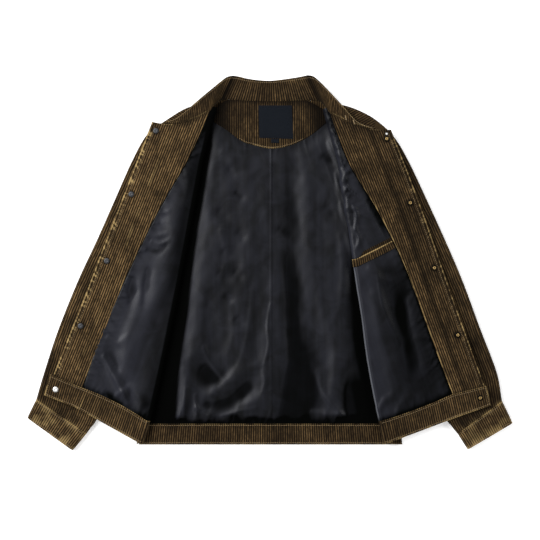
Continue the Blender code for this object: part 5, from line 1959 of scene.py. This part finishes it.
def stitch_mesh(name, paths, pitch):
    """One mesh of short thread loops along lines of points. A line is (points, up, width of the thread)."""
    ring = [(math.cos(a), math.sin(a)) for a in np.arange(6) * math.pi / 3]
    stations = ((-0.36, 0.35, -0.55), (-0.20, 1.0, 0.25), (0.20, 1.0, 0.25), (0.36, 0.35, -0.55))
    vertices, faces = [], []
    for points, up, width in paths:
        points = np.asarray(points, dtype=float)
        run = distances(points)
        count = max(int(run[-1] / pitch), 1)
        step_length = min(run[-1] / count, pitch)
        spots = (np.arange(count) + 0.5) * run[-1] / count

        def at(distance):
            return np.stack([np.interp(distance, run, points[:, axis]) for axis in range(3)], axis=-1)

        centre, tangent = at(spots), unit(at(spots + 0.6) - at(spots - 0.6))
        upward = np.array((0.0, 0.0, float(up)))
        sideways = unit(np.cross(tangent, upward))
        rise = np.cross(sideways, tangent)
        for index in range(count):
            base = len(vertices)
            for share, size, lift in stations:
                middle = centre[index] + tangent[index] * share * step_length
                middle = middle + rise[index] * lift * width * 0.5
                across, over, thick = sideways[index], rise[index], size * width * 0.5
                vertices += [tuple(middle + (across * c + over * s * 0.7) * thick) for c, s in ring]
            for step in range(len(stations) - 1):
                for k in range(6):
                    a, b = base + step * 6 + k, base + step * 6 + (k + 1) % 6
                    faces.append((a, b, b + 6, a + 6))
            faces.append(tuple(base + k for k in range(5, -1, -1)))
            faces.append(tuple(base + 18 + k for k in range(6)))
    mesh = bpy.data.meshes.new(name)
    mesh.from_pydata(((np.array(vertices) + PLAN_SHIFT) * MM).tolist(), [], faces)
    mesh.shade_smooth()
    return mesh


def on_front(side, away, share):
    """A stitch line on a placket, some mm inside the front edge."""
    plan = smooth_line(FRONTS[side].placket, share) + placket_normal(side) * away
    return np.column_stack([plan, over_height(plan[:, 0], plan[:, 1]) + SEAM_GAP + CORDUROY])


def level_line(plan, height):
    """A line of the plan at one height."""
    return np.column_stack([plan, np.full(len(plan), height)])


class JACKET_OT_stitches(bpy.types.Operator):
    """Topstitching along the edges, and the bar tacks."""
    bl_idname = "jacket.build_stitches"
    bl_label = "Topstitching"

    def execute(self, context):
        cloth = context.scene.jacket_cloth
        pitch = cloth.stitch_length / MM
        wide, narrow = 0.95, 0.6
        paths = {"right": [], "left": [], "back": []}
        long = np.linspace(0.012, 0.985, 120)
        for side in SIDES:
            paths[side].append((on_front(side, 8.0, long), 1, 0.8))
            for low in QUILT_SHARES:
                places = np.linspace(0.04, 3.15, 260)
                line = row_points(band_rows(side, np.array([low])), places, BAND_INNER - 0.15)[0]
                paths[side].append((line, 1, wide))
            inset = np.linspace(0.09, 0.91, 30)
            end = row_points(band_rows(side, inset), np.array([0.085]), BAND_INNER - 0.15)[:, 0]
            paths[side].append((end, 1, wide))
            seam, hem = CUFFS[side]
            for share in QUILT_SHARES:
                outer = np.array(seam.outer) + (np.array(hem.outer) - seam.outer) * share
                inner = np.array(seam.inner) + (np.array(hem.inner) - seam.inner) * share
                height = seam.height + (hem.height - seam.height) * share
                way = unit(inner - outer) * (height / 2)
                steps = np.linspace(0, 1, 60)[:, None]
                plan = (outer + way) + (inner - outer - 2 * way) * steps
                paths[side].append((level_line(plan, height - 0.1), 1, wide))
                paths[side].append((level_line(plan, UNDERSIDE), -1, narrow))
        sections = collar_sections()
        fine = np.linspace(0.01, 0.99, 500)
        line = smooth_line(sections, fine)
        plan = line[:, :2] + (line[:, 2:4] - line[:, :2]) * COLLAR_STITCH
        z = line[:, 4] + (line[:, 5] - line[:, 4]) * COLLAR_STITCH + COLLAR + 0.15
        paths["back"].append((np.column_stack([plan, z]), 1, 0.8))
        low_edge = smooth_line(NECK_FACING_LOW, np.linspace(0.26, 0.80, 70))
        paths["back"].append((level_line(low_edge + (0, 2.4), 4.95), 1, 0.7))
        x = np.linspace(-240, 238, 160)
        for z, up, width in ((4.05, 1, wide), (UNDERSIDE, -1, narrow)):
            for y in (-307.3, -339.6):
                paths["back"].append((level_line(np.column_stack([x, np.full(160, y)]), z), up, width))
        for x, y in ((142.0, 271.2), (157.2, 263.0)):
            for shift in np.linspace(-3.8, 3.8, 12):
                slant = x - 0.25 * shift
                tack = np.array([(slant - 1.5, y + shift), (slant + 1.5, y + shift + 0.4)])
                height = over_height(tack[:, 0], tack[:, 1]) + SEAM_GAP + CORDUROY + 0.5
                paths["left"].append((np.column_stack([tack, height]), 1, 0.7))
        for group, lines in paths.items():
            mesh = stitch_mesh(f"topstitch_{group}", lines, pitch)
            add_piece(f"topstitch_{group}", mesh, thread("ochre_thread", cloth))
        return {"FINISHED"}


# ---------------------------------------------------------------- panel and run

STEPS = (
    JACKET_OT_stage, JACKET_OT_back, JACKET_OT_neck_facing, JACKET_OT_back_lining, JACKET_OT_fronts,
    JACKET_OT_facings, JACKET_OT_front_linings, JACKET_OT_bands, JACKET_OT_sleeves, JACKET_OT_cuffs,
    JACKET_OT_collar, JACKET_OT_welt, JACKET_OT_label, JACKET_OT_snaps, JACKET_OT_stitches,
)
SETTINGS = {
    "jacket_cloth": JacketCloth, "jacket_lining": JacketLining,
    "jacket_snaps": JacketSnaps, "jacket_stage": JacketStage,
}


class JACKET_PT_pieces(bpy.types.Panel):
    """Lists the pieces of the jacket and their settings."""
    bl_label = "Corduroy jacket"
    bl_idname = "JACKET_PT_pieces"
    bl_space_type = "VIEW_3D"
    bl_region_type = "UI"
    bl_category = "Jacket"

    def draw(self, context):
        for label, group in SETTINGS.items():
            box = self.layout.box()
            for field in group.__annotations__:
                box.prop(getattr(context.scene, label), field)
        for step in STEPS:
            self.layout.operator(step.bl_idname)


CLASSES = (*SETTINGS.values(), *STEPS, JACKET_PT_pieces)


def register():
    for item in CLASSES:
        bpy.utils.register_class(item)
    for label, group in SETTINGS.items():
        setattr(bpy.types.Scene, label, bpy.props.PointerProperty(type=group))


def unregister():
    for label in SETTINGS:
        delattr(bpy.types.Scene, label)
    for item in reversed(CLASSES):
        bpy.utils.unregister_class(item)


def main():
    register()
    for step in STEPS:
        group, name = step.bl_idname.split(".")
        getattr(getattr(bpy.ops, group), name)()


if __name__ == "__main__":
    main()
